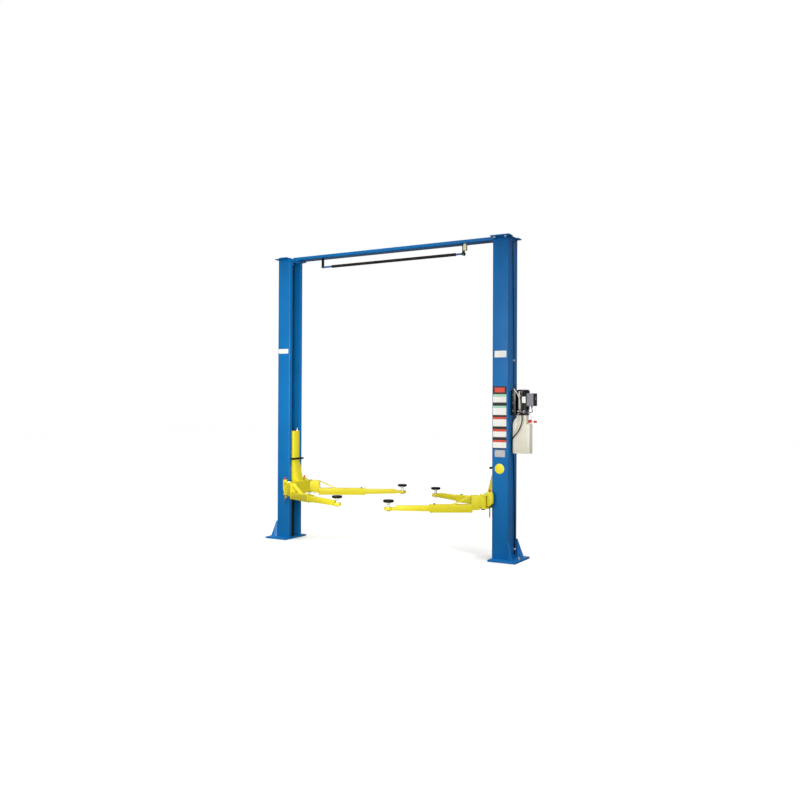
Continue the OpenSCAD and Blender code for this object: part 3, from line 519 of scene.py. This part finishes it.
INNER_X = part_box("right_column")[0].x
OUTER_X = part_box("right_column")[1].x
HALF_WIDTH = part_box("right_column")[1].y
COLUMN_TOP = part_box("right_column")[1].z
BASE_TOP = 0.020
COLUMN_BEND = 0.012
GUSSET_TURN = 29
ANCHOR_X = 1.700
CARRIER_FOOT = 0.590
CARRIER_ROOF = 0.750
STRAP_FACE = 0.018


def make_columns():
    for side in SIDES:
        dressed_node(side + "_column", BLUE, 0.0012)
        dressed_node(side + "_base", BLUE, 0.0016)


def make_base_welds():
    beads = [weld_bead("bead", [(INNER_X + 0.004, -HALF_WIDTH, BASE_TOP),
                                (OUTER_X - COLUMN_BEND, -HALF_WIDTH, BASE_TOP)], 0.005),
             weld_bead("bead", [(OUTER_X, -HALF_WIDTH + COLUMN_BEND, BASE_TOP),
                                (OUTER_X, HALF_WIDTH - COLUMN_BEND, BASE_TOP)], 0.005),
             weld_bead("bead", [(OUTER_X - COLUMN_BEND, HALF_WIDTH, BASE_TOP),
                                (INNER_X + 0.004, HALF_WIDTH, BASE_TOP)], 0.005)]
    for sign in (-1, 1):
        turn = math.radians(GUSSET_TURN) * sign
        along = Vector((math.cos(turn), math.sin(turn), 0))
        aside = Vector((-math.sin(turn), math.cos(turn), 0))
        corner = Vector((OUTER_X - COLUMN_BEND, sign * (HALF_WIDTH - COLUMN_BEND), BASE_TOP))
        for edge in (-1, 1):
            foot = corner + along * 0.018 + aside * edge * 0.005
            beads.append(weld_bead("bead", [foot, foot + along * 0.070], 0.004))
            top = foot - along * 0.002
            beads.append(weld_bead("bead", [top, top + Vector((0, 0, 0.198))], 0.0035))
    both_sides("base_welds", joined("base_welds", beads), BLUE, "blue_paint", "frame")


def make_anchor_bolts():
    centre = Vector((ANCHOR_X, 0, BASE_TOP))
    washer = turned("washer", [(0.0175, 0), (0.018, 0.0006), (0.018, 0.0026), (0.0172, 0.0032)], 28, centre)
    nut = turned("nut", [(0.0138, 0.0032), (0.0144, 0.0044), (0.0144, 0.0138), (0.0128, 0.0156),
                         (0.0095, 0.0156)], 6, centre, smooth=20)
    rings = [(0.0088, -0.018), (0.0088, 0.0156)]
    for turn in range(5):
        rings += [(0.0082, 0.0160 + turn * 0.0016), (0.009, 0.0167 + turn * 0.0016)]
    stud = turned("stud", rings + [(0.0078, 0.024)], 20, centre)
    both = joined("anchor", [washer, nut, stud])
    right = both_sides("anchor_bolt", both, GOLD_ZINC, "zinc_plate", "frame")[1]
    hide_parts("anchor_bolts")


def make_caps():
    dressed_node("top_plates", BLUE, 0.0015)
    bolts = []
    for x in (1.464, 1.597):
        bolts.append(hex_bolt("bolt", 0.0125, 0.011, (x, -0.176, COLUMN_TOP), "-Z"))
    both_sides("cap_bolts", joined("cap_bolts", bolts), WHITE_ZINC, "bright_steel", "frame")
    beads = [weld_bead("bead", [(OUTER_X, -HALF_WIDTH + 0.014, COLUMN_TOP),
                                (OUTER_X, HALF_WIDTH - 0.014, COLUMN_TOP)], 0.004)]
    for sign in (-1, 1):
        beads.append(weld_bead("bead", [(INNER_X + 0.01, sign * HALF_WIDTH, COLUMN_TOP),
                                        (OUTER_X - 0.014, sign * HALF_WIDTH, COLUMN_TOP)], 0.004))
    both_sides("cap_welds", joined("cap_welds", beads), BLUE, "blue_paint", "frame")


def make_beam():
    dressed_node("overhead_beam", BLUE, 0.003, 3)
    dressed_node("beam_brackets", BLUE, 0.0012)
    foot_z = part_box("beam_brackets")[0].z
    bolts = []
    for y in (-0.09, 0.09):
        for z in (foot_z + 0.018, foot_z + 0.044):
            bolts.append(hex_bolt("bolt", 0.0075, 0.006, (INNER_X - 0.008, y, z), "-X", 0.002))
    both_sides("bracket_bolts", joined("bracket_bolts", bolts), BLUE, "blue_paint", "frame")


def make_lift_cylinders():
    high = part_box("lift_cylinders")[1]
    x = high.x - 0.038
    barrel = turned("barrel", [(0.046, 0.020), (0.046, 0.034), (0.038, 0.036), (0.038, 1.168),
                               (0.0376, 1.176),
                               (0.0365, 1.180), (0.033, 1.181), (0.033, 1.199), (0.031, 1.202),
                               (0.024, 1.202)], 40, (x, 0, 0))
    both = both_sides("cylinder_barrel", barrel, BLACK_COAT, "black_paint", "frame")
    rod = turned("rod", [(0.0199, 1.195), (0.0199, high.z - 0.004), (0.017, high.z)], 32, (x, 0, 0))
    both_sides("cylinder_rod", rod, CHROME, "bright_steel", "frame")
    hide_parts("lift_cylinders")


make_columns()
make_base_welds()
make_anchor_bolts()
make_caps()
make_beam()
make_lift_cylinders()


# Shutoff bar under the beam

def make_shutoff_bar():
    dressed_node("bar_straps", BLACK_COAT, 0.0006, 1)
    dressed_node("shutoff_rod", BLUE, 0.0006, 1)
    low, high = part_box("shutoff_padding")
    z = (low.z + high.z) / 2
    radius = (high.z - low.z) / 2
    length = high.x - low.x
    steps = [(radius * 0.62, 0), (radius * 0.9, 0.001), (radius, 0.006)]
    ties = [0.06 + share * (length - 0.12) / 5 for share in range(6)]
    for tie in ties:
        steps += [(radius, tie - 0.010), (radius * 0.93, tie - 0.003), (radius * 0.93, tie + 0.003),
                  (radius, tie + 0.010)]
        if tie != ties[-1]:
            steps += [(radius * 0.985, tie + 0.09), (radius, tie + 0.16)]
    steps += [(radius, length - 0.006), (radius * 0.9, length - 0.001), (radius * 0.62, length)]
    sleeve = turned("shutoff_sleeve", steps, 28, (low.x, 0, z), "X", 50)
    fitted(sleeve, FOAM, "shutoff_bar", "black_rubber", "shutoff_padding")
    bands = []
    for tie in ties:
        bands.append(turned("tie", [(radius * 0.94, -0.0024), (radius * 0.965, -0.002),
                                    (radius * 0.965, 0.002), (radius * 0.94, 0.0024)],
                            28, (low.x + tie, 0, z), "X"))
        bands.append(boxed("tie_lock", (low.x + tie - 0.003, -0.003, z + radius * 0.9),
                           (low.x + tie + 0.003, 0.003, z + radius * 1.0), 0.0006))
    fitted(joined("sleeve_ties", bands), NYLON, "shutoff_bar", "dark_nylon")
    bolts = [hex_bolt("bolt", 0.0075, 0.005, (-1.005, sign * STRAP_FACE, z), "Y" if sign > 0 else "-Y",
                      0.0015) for sign in (-1, 1)]
    bolts += [hex_bolt("bolt", 0.0075, 0.005, (1.0, sign * STRAP_FACE, z - 0.0133),
                       "Y" if sign > 0 else "-Y", 0.0015) for sign in (-1, 1)]
    fitted(joined("strap_bolts", bolts), DARK_STEEL, "frame", "bright_steel")


def make_limit_switch():
    low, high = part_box("limit_switch")
    foot = boxed("switch_foot", (low.x + 0.004, low.y + 0.004, high.z - 0.0142),
                 (high.x - 0.004, high.y - 0.004, high.z), 0.001)
    fitted(foot, CREAM, "frame", "cream_plastic")
    high = Vector((high.x, high.y, high.z - 0.014))
    case = boxed("limit_switch_case", low, high, 0.0025, 3)
    recessed(case, lambda centre, normal: normal.x > 0.9 and abs(centre.x - high.x) < 0.001, 0.004, 0.0012)
    recessed(case, lambda centre, normal: normal.y < -0.9 and abs(centre.y - low.y) < 0.001, 0.005, 0.0008)
    fitted(case, CREAM, "frame", "cream_plastic", "limit_switch")
    middle = (low.y + high.y) / 2
    screws = [turned("screw", [(0.0042, 0), (0.0042, 0.0018), (0.003, 0.0026), (0.0012, 0.0018)], 16,
                     (high.x - 0.0012, middle, low.z + share * (high.z - low.z)),
                     "X") for share in (0.25, 0.7)]
    fitted(joined("switch_screws", screws), DARK_STEEL, "frame", "bright_steel")
    roller = turned("roller", [(0.004, -0.004), (0.0065, -0.0035), (0.0065, 0.0035), (0.004, 0.004)], 20,
                    (low.x + 0.008, low.y + 0.012, low.z - 0.012), "Y")
    lever = boxed("lever", (low.x + 0.006, low.y + 0.010, low.z - 0.014),
                  (low.x + 0.010, low.y + 0.014, low.z + 0.004), 0.001)
    fitted(joined("switch_lever", [roller, lever]), BLACK_CASE, "frame", "black_paint")


make_shutoff_bar()
make_limit_switch()


# Power unit

MOTOR_X = (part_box("pump_motor")[0].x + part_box("pump_motor")[1].x) / 2


def make_motor():
    low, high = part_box("pump_motor")
    radius = (high.x - low.x) / 2
    foot, top = low.z, high.z
    shell = turned("motor_shell", [(radius * 0.93, foot), (radius * 0.985, foot + 0.002),
                                   (radius * 0.985, foot + 0.016),
                                   (radius * 0.95, foot + 0.018), (radius * 0.95, foot + 0.024),
                                   (radius * 0.985, foot + 0.026),
                                   (radius * 0.985, top - 0.052), (radius * 0.95, top - 0.050),
                                   (radius * 0.95, top - 0.045),
                                   (radius, top - 0.043), (radius, top - 0.022),
                                   (radius * 0.97, top - 0.012),
                                   (radius * 0.86, top - 0.003), (radius * 0.6, top),
                                   (radius * 0.55, top - 0.002),
                                   (radius * 0.2, top - 0.002)], 64, (MOTOR_X, 0, 0))
    fins = []
    for index in range(28):
        turn = index * math.tau / 28
        if math.cos(turn) > 0.78 or math.cos(turn) < -0.5:
            continue
        fin = boxed("fin", (radius * 0.96, -0.0011, foot + 0.030), (radius * 0.998, 0.0011, top - 0.054),
                    0.0005, 1)
        fins.append(moved(fin, Matrix.Translation((MOTOR_X, 0, 0)) @ Matrix.Rotation(turn, 4, "Z")))
    fitted(joined("motor_shell", [shell] + fins), BLACK_COAT, "frame", "black_paint", "pump_motor")
    plate_turn = Matrix.Translation((MOTOR_X, 0, 0)) @ Matrix.Rotation(math.radians(-62), 4, "Z")
    plate = moved(boxed("motor_plate", (radius * 0.985, -0.020, foot + 0.075),
                        (radius * 1.0, 0.020, top - 0.080), 0.0006), plate_turn)
    fitted(plate, LABEL_WHITE, "frame", "bright_steel")
    # A white zinc strip down the motor's front: a painted highlight, standing in for a lamp's reflection on the
    # glossy black motor.
    highlight_turn = Matrix.Translation((MOTOR_X, 0, 0)) @ Matrix.Rotation(math.radians(-104), 4, "Z")
    painted_highlight = moved(boxed("motor_painted_highlight", (radius * 0.985, -0.009, foot + 0.004),
                        (radius * 1.0, 0.009, top - 0.020), 0.0006), highlight_turn)
    fitted(painted_highlight, WHITE_ZINC, "frame", "bright_steel")


def make_pump():
    low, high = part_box("pump_block")
    block = boxed("pump_body", low, high, 0.004, 3)
    recessed(block, lambda centre, normal: normal.y < -0.9 and centre.y < low.y + 0.001, 0.012, 0.003)
    fitted(block, BLACK_COAT, "frame", "cast_aluminium", "pump_block")
    plugs = []
    for x, z in ((-0.034, 0.016), (-0.034, 0.046), (0.030, 0.030)):
        plugs.append(hex_bolt("plug", 0.009, 0.008, (MOTOR_X + x, low.y + 0.003, low.z + z), "-Y", 0.002))
    plugs.append(turned("valve", [(0.011, 0), (0.013, 0.002), (0.013, 0.014), (0.009, 0.016),
                                  (0.009, 0.030), (0.006, 0.032)], 20,
                        (MOTOR_X + 0.036, low.y + 0.001, low.z + 0.044), "-Y"))
    plugs.append(hex_bolt("fitting", 0.012, 0.012, (MOTOR_X + 0.007, low.y + 0.003, low.z + 0.035), "-Y",
                          0.002))
    fitted(joined("pump_fittings", plugs), STEEL, "frame", "bright_steel")


def make_control_box():
    low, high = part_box("control_box")
    split = high.x - 0.010
    case = boxed("control_case", (low.x, low.y, low.z), (split, high.y, high.z), 0.004, 3)
    recessed(case, lambda centre, normal: normal.y < -0.9 and centre.y < low.y + 0.001, 0.009, 0.0015)
    fitted(case, GREY_CASE, "frame", "grey_plastic", "control_box")
    cover = boxed("control_cover", (split - 0.001, low.y + 0.001, low.z + 0.001),
                  (high.x, high.y - 0.001, high.z - 0.001), 0.003, 3)
    recessed(cover, lambda centre, normal: normal.x > 0.9 and centre.x > high.x - 0.001, 0.010, 0.0015)
    fitted(cover, BLACK_CASE, "frame", "black_paint")
    middle_z = (low.z + high.z) / 2
    ring = turned("button_ring", [(0.0165, 0), (0.0165, 0.003), (0.0145, 0.0045), (0.0125, 0.0045),
                                  (0.0125, 0.002)], 32,
                  (high.x - 0.0022, 0, middle_z + 0.012), "X")
    fitted(ring, STEEL, "frame", "bright_steel")
    button = turned("lift_button", [(0.0115, 0), (0.0115, 0.0046), (0.0105, 0.0060), (0.007, 0.0068)], 28,
                    (high.x - 0.0035, 0, middle_z + 0.012), "X")
    fitted(button, GREY_CASE, "frame", "grey_plastic")
    screws = [turned("screw", [(0.0035, 0), (0.0035, 0.0014), (0.0026, 0.002), (0.001, 0.0014)], 14,
                     (x, low.y + 0.0002, z),
                     "-Y") for x in (low.x + 0.022, split - 0.010) for z in (low.z + 0.009, high.z - 0.009)]
    gland = turned("gland", [(0.010, 0), (0.010, 0.010), (0.0075, 0.012), (0.0075, 0.020), (0.006, 0.022)],
                   20,
                   (split - 0.03, -0.01, low.z + 0.002), "-Z")
    fitted(joined("case_screws", screws), DARK_STEEL, "frame", "bright_steel")
    fitted(gland, NYLON, "frame", "dark_nylon")
    lead = drawn_tube("control_lead", smooth_route([
        (split - 0.03, -0.01, low.z - 0.016), (split - 0.03, -0.012, low.z - 0.034),
        (split - 0.018, -0.024, low.z - 0.054),
        (split - 0.022, -0.040, low.z - 0.070), (split - 0.045, -0.046, low.z - 0.068),
        (MOTOR_X + 0.060, -0.040, low.z - 0.066),
        (MOTOR_X + 0.045, -0.034, low.z - 0.066)]), 0.0042)
    fitted(lead, HOSE, "frame", "black_rubber")


def make_motor_lead():
    front = -0.078
    lead = drawn_tube("motor_lead", smooth_route([
        (OUTER_X + 0.016, 0.006, 1.926), (OUTER_X + 0.022, -0.014, 1.938), (OUTER_X + 0.038, -0.050, 1.930),
        (OUTER_X + 0.064, front + 0.010, 1.905), (OUTER_X + 0.092, front, 1.868),
        (OUTER_X + 0.114, front - 0.003, 1.820),
        (OUTER_X + 0.120, front - 0.003, 1.760), (OUTER_X + 0.118, front + 0.004, 1.712),
        (OUTER_X + 0.112, front + 0.022, 1.685),
        (OUTER_X + 0.104, -0.046, 1.672)]), 0.0048)
    fitted(lead, CREAM, "frame", "cream_plastic")


def make_tank():
    dressed_node("oil_tank", TANK, 0.006, 3, 30)
    low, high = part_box("filler_cap")
    centre = (low + high) / 2
    foot = low.z
    radius = (high.x - low.x) / 2
    cap = turned("filler_cap_knob", [(radius * 0.86, foot), (radius * 0.92, foot + 0.001),
                                     (radius * 0.94, foot + 0.024),
                                     (radius * 0.9, foot + 0.029), (radius * 0.7, foot + 0.0325),
                                     (radius * 0.45, high.z)],
                 36, (centre.x, centre.y, 0))
    ribs = []
    for index in range(20):
        rib = boxed("rib", (radius * 0.9, -0.0009, foot + 0.004), (radius, 0.0009, foot + 0.024), 0.0003, 1)
        ribs.append(moved(rib,
                          Matrix.Translation((centre.x, centre.y,
                                              0)) @ Matrix.Rotation(index * math.tau / 20, 4, "Z")))
    fitted(joined("filler_cap_knob", [cap] + ribs), RED, "frame", "red_plastic", "filler_cap")
    low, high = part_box("release_lever")
    knob_radius, knob_length, drop = 0.013, 0.036, 0.101
    y = (low.y + high.y) / 2
    knob_z = low.z + knob_radius
    top = knob_z + drop
    out = high.x - low.x
    start = low.x
    rod = drawn_tube("release_rod", smooth_route([
        (start, y, top), (start + 0.016, y, top), (start + 0.3 * out, y, top - 0.2 * drop),
        (high.x - knob_length - 0.018, y, top - 0.8 * drop),
        (high.x - knob_length - 0.004, y, top - drop + 0.002),
        (high.x - knob_length + 0.008, y, knob_z)], 5), 0.0048)
    fitted(rod, WHITE_ZINC, "frame", "bright_steel", "release_lever")
    knob = turned("release_knob", [(0.007, 0.0), (0.0112, 0.0016), (knob_radius, 0.006),
                                   (knob_radius * 0.93, 0.018),
                                   (knob_radius, 0.028), (0.0112, 0.034), (0.006, knob_length)], 28,
                  (high.x - knob_length, y, knob_z), "X")
    fitted(knob, RED, "frame", "red_plastic")


def make_power_unit_frame():
    dressed_node("motor_bracket", BLACK_COAT, 0.0015)
    low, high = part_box("motor_bracket")
    bolts = []
    for z in (low.z + 0.05, (low.z + high.z) / 2, high.z - 0.05):
        bolts.append(hex_bolt("bolt", 0.0075, 0.006, (OUTER_X + 0.030, low.y, z), "-Y", 0.002))
        bolts.append(hex_bolt("bolt", 0.0075, 0.006, (OUTER_X + 0.030, high.y, z), "Y", 0.002))
    fitted(joined("bracket_side_bolts", bolts), DARK_STEEL, "frame", "bright_steel")
    for node, material in (("pressure_hose", HOSE), ("switch_cable", HOSE)):
        piece = dressed(node, node + "_finished", 0)
        with_modifier(piece, "SUBSURF", levels=1, render_levels=1)
        fitted(smoothed(piece, 60), material, "frame", SLOT_OF[node], node)
    dressed_node("cable_clips", LABEL_WHITE, 0.0008, 1)


make_motor()
make_pump()
make_control_box()
make_motor_lead()
make_tank()
make_power_unit_frame()


# Plain label plates

def label_plate(name, x0, x1, z0, z1, material, proud=0.0008):
    piece = boxed(name, (x0, -HALF_WIDTH - proud, z0), (x1, -HALF_WIDTH + 0.001, z1), 0.0003, 1)
    return fitted(piece, material, "frame", "bright_steel")


def make_labels():
    label_plate("upper_plate", 1.457, 1.599, 2.286, 2.359, LABEL_WHITE)
    label_plate("left_upper_plate", -1.609, -1.451, 2.412, 2.470, LABEL_WHITE)
    label_plate("label_backing", 1.437, 1.603, 1.257, 1.962, LABEL_BLACK)
    bands = [(1.893, 1.946, LABEL_RED, 0.020), (1.848, 1.872, LABEL_GREEN, 0),
             (1.780, 1.846, LABEL_WHITE, 0), (1.722, 1.742, LABEL_GREEN, 0),
             (1.640, 1.720, LABEL_WHITE, 0), (1.594, 1.616, LABEL_RED, 0), (1.512, 1.592, LABEL_WHITE, 0),
             (1.456, 1.480, LABEL_RED, 0),
             (1.392, 1.454, LABEL_WHITE, 0), (1.336, 1.358, LABEL_RED, 0), (1.270, 1.334, LABEL_WHITE, 0)]
    for index, (low, high, material, inset) in enumerate(bands):
        label_plate("label_band_%02d" % index, 1.4385 + inset, 1.6015 - inset, low, high, material, 0.0013)
    label_plate("small_plate", 1.463, 1.586, 1.168, 1.245, LABEL_SILVER)
    disc = turned("yellow_disc", [(0.057, 0), (0.057, 0.0007), (0.0565, 0.0009)], 48,
                  (1.521, -HALF_WIDTH, 1.036), "-Y")
    fitted(disc, LABEL_YELLOW, "frame", "yellow_paint")


make_labels()


# Carriages

def make_carriages():
    for side in SIDES:
        dressed_node(side + "_carriage", YELLOW, 0.0015)
        dressed_node(side + "_slides", NYLON, 0.002)
        dressed_node(side + "_carrier", YELLOW, 0.0012)
    nose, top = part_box("right_bumper")[1].x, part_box("right_slides")[1].z + 0.010
    stud_steps = [(0.0084, 0), (0.0084, 0.012)]
    for turn in range(11):
        stud_steps += [(0.0080, 0.0130 + turn * 0.0024), (0.0090, 0.0142 + turn * 0.0024)]
    stud = turned("stud", stud_steps + [(0.006, 0.0412)], 20, (nose + 0.020, -0.035, top))
    nut = hex_bolt("nut", 0.0155, 0.011, (nose + 0.020, -0.035, top))
    both_sides("carriage_stud", joined("carriage_stud", [stud, nut]), STEEL, "bright_steel")


def make_carriage_welds():
    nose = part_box("right_bumper")[1].x
    half = 0.057
    beads = []
    for z in (CARRIER_FOOT, CARRIER_ROOF):
        for sign in (-1, 1):
            beads.append(weld_bead("bead", [(nose, sign * half, z), (1.418, sign * half, z)], 0.004))
    for sign in (-1, 1):
        beads.append(weld_bead("bead", [(nose - 0.064, sign * half, 0.752),
                                        (nose - 0.002, sign * half, 0.990)], 0.0035))
        beads.append(weld_bead("bead", [(nose - 0.066, sign * half, CARRIER_ROOF),
                                        (nose, sign * half, CARRIER_ROOF)], 0.004))
        beads.append(weld_bead("bead", [(1.4095, sign * 0.166, 0.6), (1.4095, sign * 0.224, 0.6)], 0.003))
    beads.append(weld_bead("bead", [(nose - 0.066, -half, CARRIER_ROOF),
                                    (nose - 0.066, half, CARRIER_ROOF)], 0.004))
    beads.append(weld_bead("bead", [(nose, -half, 0.994), (nose, half, 0.994)], 0.0035))
    both_sides("carriage_welds", joined("carriage_welds", beads), YELLOW, "yellow_paint")


def make_bumpers():
    for side in SIDES:
        dressed_node(side + "_bumper", RUBBER, 0.004, 3)
    low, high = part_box("right_bumper")
    bolts = [hex_bolt("bolt", 0.0065, 0.004, (low.x, y, (low.z + high.z) / 2), "-X",
                      0.0015) for y in (-0.04, 0.04)]
    both_sides("bumper_bolts", joined("bumper_bolts", bolts), DARK_STEEL, "bright_steel")


def make_pins():
    pivot = JOINT_AT["right_rear_swing"]["pos_m"]
    x, y = pivot[0], abs(pivot[1])
    low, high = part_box("right_pivot_pins")
    pins = []
    for sign in (-1, 1):
        place = (x, sign * y, 0)
        pins.append(turned("pin", [(0.015, low.z), (0.016, low.z + 0.001), (0.016, high.z - 0.007),
                                   (0.0225, high.z - 0.0066),
                                   (0.023, high.z - 0.0055), (0.023, high.z - 0.002), (0.021, high.z),
                                   (0.009, high.z),
                                   (0.008, high.z - 0.002), (0.004, high.z - 0.002),
                                   (0.0035, high.z + 0.003), (0.002, high.z + 0.005)], 32, place))
    pair = both_sides("pivot_pin_pair", joined("pins", pins), WHITE_ZINC, "bright_steel")
    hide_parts("left_pivot_pins")
    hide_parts("right_pivot_pins")
    nuts = [turned("nut", [(0.023, low.z), (0.025, low.z + 0.0015), (0.025, low.z + 0.0115),
                           (0.0235, low.z + 0.013), (0.017, low.z + 0.013)], 6,
                   (x, sign * y, 0), smooth=20) for sign in (-1, 1)]
    both_sides("pivot_nut_pair", joined("nuts", nuts), BLACK_COAT, "black_paint")


def make_lock_pins():
    low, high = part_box("right_lock_pins")
    x = (low.x + high.x) / 2
    y = high.y - 0.013
    ear_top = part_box("right_carrier")[1].z
    rods, balls, springs = [], [], []
    for sign in (-1, 1):
        place = (x, sign * y, 0)
        rods.append(turned("rod", [(0.004, low.z), (0.006, low.z + 0.004), (0.006, ear_top),
                                   (0.0085, ear_top + 0.0003),
                                   (0.0085, ear_top + 0.003), (0.006, ear_top + 0.0035),
                                   (0.0055, high.z - 0.018)], 20, place))
        radius = 0.013
        centre = high.z - radius
        arcs = [(radius * math.sin(math.radians(turn)),
                 centre - radius * math.cos(math.radians(turn))) for turn in range(18, 180, 18)]
        balls.append(turned("ball", [(0.0055, arcs[0][1] - 0.002)] + arcs + [(0.0015, high.z)], 28, place,
                            smooth=60))
        coil = [(x + 0.0085 * math.cos(step * math.tau / 10),
                 sign * y + 0.0085 * math.sin(step * math.tau / 10), 0.575 - step * 0.00075)
                for step in range(81)]
        springs.append(drawn_tube("spring", coil, 0.0012, 0))
        springs.append(turned("spring_seat", [(0.0105, 0.5110), (0.011, 0.5116), (0.011, 0.5136),
                                              (0.0105, 0.5142)], 20, place))
    rods = both_sides("lock_rod_pair", joined("rods", rods), DARK_STEEL, "bright_steel")
    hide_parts("left_lock_pins")
    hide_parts("right_lock_pins")
    both_sides("lock_ball_pair", joined("balls", balls), RED, "red_plastic")
    both_sides("lock_spring_pair", joined("springs", springs), STEEL, "bright_steel")


make_carriages()
make_carriage_welds()
make_bumpers()
make_pins()
make_lock_pins()


# Swing arms

def arm_frame(name):
    """Matrix that puts a piece drawn along +X from the pivot on its arm, with the arm's reach."""
    pivot = Vector(JOINT_AT[name + "_swing"]["pos_m"])
    low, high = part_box(name + "_pad")
    line = (low + high) / 2 - pivot
    x_side = -1 if pivot.x > 0 else 1
    y_side = -1 if pivot.y < 0 else 1
    angle = math.atan2(line.y * y_side, line.x * x_side)
    flip = Matrix.Diagonal((x_side, y_side, 1, 1))
    return (Matrix.Translation((pivot.x, pivot.y, 0)) @ flip @ Matrix.Rotation(angle, 4, "Z"),
            math.hypot(line.x, line.y))


def make_arm_tools():
    """Welds that every arm has, drawn once along +X."""
    half, root_half = 0.046, 0.042
    floor_z, roof_z, root_top = 0.551, 0.638, 0.740
    beads = [weld_bead("bead", [(0.138, -half, floor_z), (0.138, half, floor_z), (0.138, half, roof_z),
                                (0.138, -half, roof_z)], 0.004, True),
             weld_bead("bead", [(0.126, -root_half, 0.580), (0.126, -root_half, root_top),
                                (0.126, root_half, root_top), (0.126, root_half, 0.580)], 0.0035),
             weld_bead("bead", [(0.352, -0.025, roof_z), (0.352, 0.025, roof_z)], 0.004)]
    for sign in (-1, 1):
        beads.append(weld_bead("bead", [(0.338, sign * 0.025, roof_z), (0.352, sign * 0.025, roof_z)],
                               0.003))
        beads.append(weld_bead("bead", [(0.138, sign * 0.025, root_top - 0.010),
                                        (0.138, sign * 0.025, root_top - 0.002)], 0.003))
    return joined("arm_welds", beads)


def make_arms():
    welds = make_arm_tools()
    stop_bolt = hex_bolt("stop_bolt", 0.0095, 0.009, (0, 0, 0.640))
    grease = turned("grease", [(0.004, 0.7395), (0.004, 0.743), (0.0026, 0.744), (0.0026, 0.748),
                               (0.0034, 0.750), (0.002, 0.752)], 12, (0.09, 0, 0))
    for name in ARMS:
        place, reach = arm_frame(name)
        tube_end = 0.742 if "rear" in name else 0.600
        dressed_node(name + "_arm", YELLOW, 0.002, 2)
        dressed_node(name + "_extension", YELLOW, 0.002, 2)
        fitted(copied(welds, name + "_arm_welds", place), YELLOW, name + "_tube", "yellow_paint")
        bolt = copied(stop_bolt, name + "_stop_bolt", place @ Matrix.Translation((tube_end - 0.05, 0, 0)))
        fitted(bolt, DARK_STEEL, name + "_tube", "bright_steel")
        fitted(copied(grease, name + "_grease_nipple", place), STEEL, name + "_tube", "bright_steel")
        tip = reach - 0.086
        bead = weld_bead("bead", [(tip, -0.031, 0.574), (tip, 0.031, 0.574), (tip, 0.031, 0.608),
                                  (tip, -0.031, 0.608)], 0.003, True)
        fitted(moved(joined(name + "_yoke_weld", [bead]), place), YELLOW, name + "_inner", "yellow_paint")
        make_screw_pad(name, place @ Matrix.Translation((reach, 0, 0)))
    for spare in (welds, stop_bolt, grease):
        bpy.data.objects.remove(spare)


def make_screw_pad(name, place):
    low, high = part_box(name + "_screw")
    foot, top = low.z, high.z
    steps = [(0.011, foot - 0.0), (0.0148, foot + 0.003)]
    thread_foot, pitch = foot + 0.004, 0.0042
    count = int((top - 0.008 - thread_foot) / pitch)
    for turn in range(count):
        z = thread_foot + turn * pitch
        steps += [(0.0149, z + pitch * 0.1), (0.0149, z + pitch * 0.4), (0.0128, z + pitch * 0.6),
                  (0.0128, z + pitch * 0.9)]
    steps += [(0.0145, top - 0.0075), (0.033, top - 0.006), (0.034, top - 0.005), (0.034, top - 0.0005),
              (0.033, top)]
    screw = turned(name + "_threaded_screw", steps, 28)
    nut = turned("nut", [(0.0222, foot), (0.024, foot + 0.0015), (0.024, foot + 0.0105),
                         (0.0222, foot + 0.012), (0.0155, foot + 0.012)], 6, smooth=20)
    fitted(moved(joined(name + "_threaded_screw", [screw, nut]), place), WHITE_ZINC, name + "_foot",
           "bright_steel", name + "_screw")
    low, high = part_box(name + "_pad")
    foot, top = low.z, high.z
    disc = turned(name + "_rubber_pad", [(0.046, foot), (0.051, foot + 0.0005), (0.0575, foot + 0.004),
                                         (0.0595, foot + 0.008),
                                         (0.06, foot + 0.012), (0.06, foot + 0.021),
                                         (0.0585, foot + 0.0255), (0.0555, top),
                                         (0.050, top), (0.049, top - 0.0022), (0.046, top - 0.0022),
                                         (0.045, top), (0.037, top),
                                         (0.036, top - 0.0022), (0.033, top - 0.0022), (0.032, top),
                                         (0.024, top),
                                         (0.023, top - 0.0022), (0.020, top - 0.0022), (0.019, top),
                                         (0.006, top)], 56, smooth=40)
    fitted(moved(disc, place), RUBBER, name + "_foot", "black_rubber", name + "_pad")


make_arms()
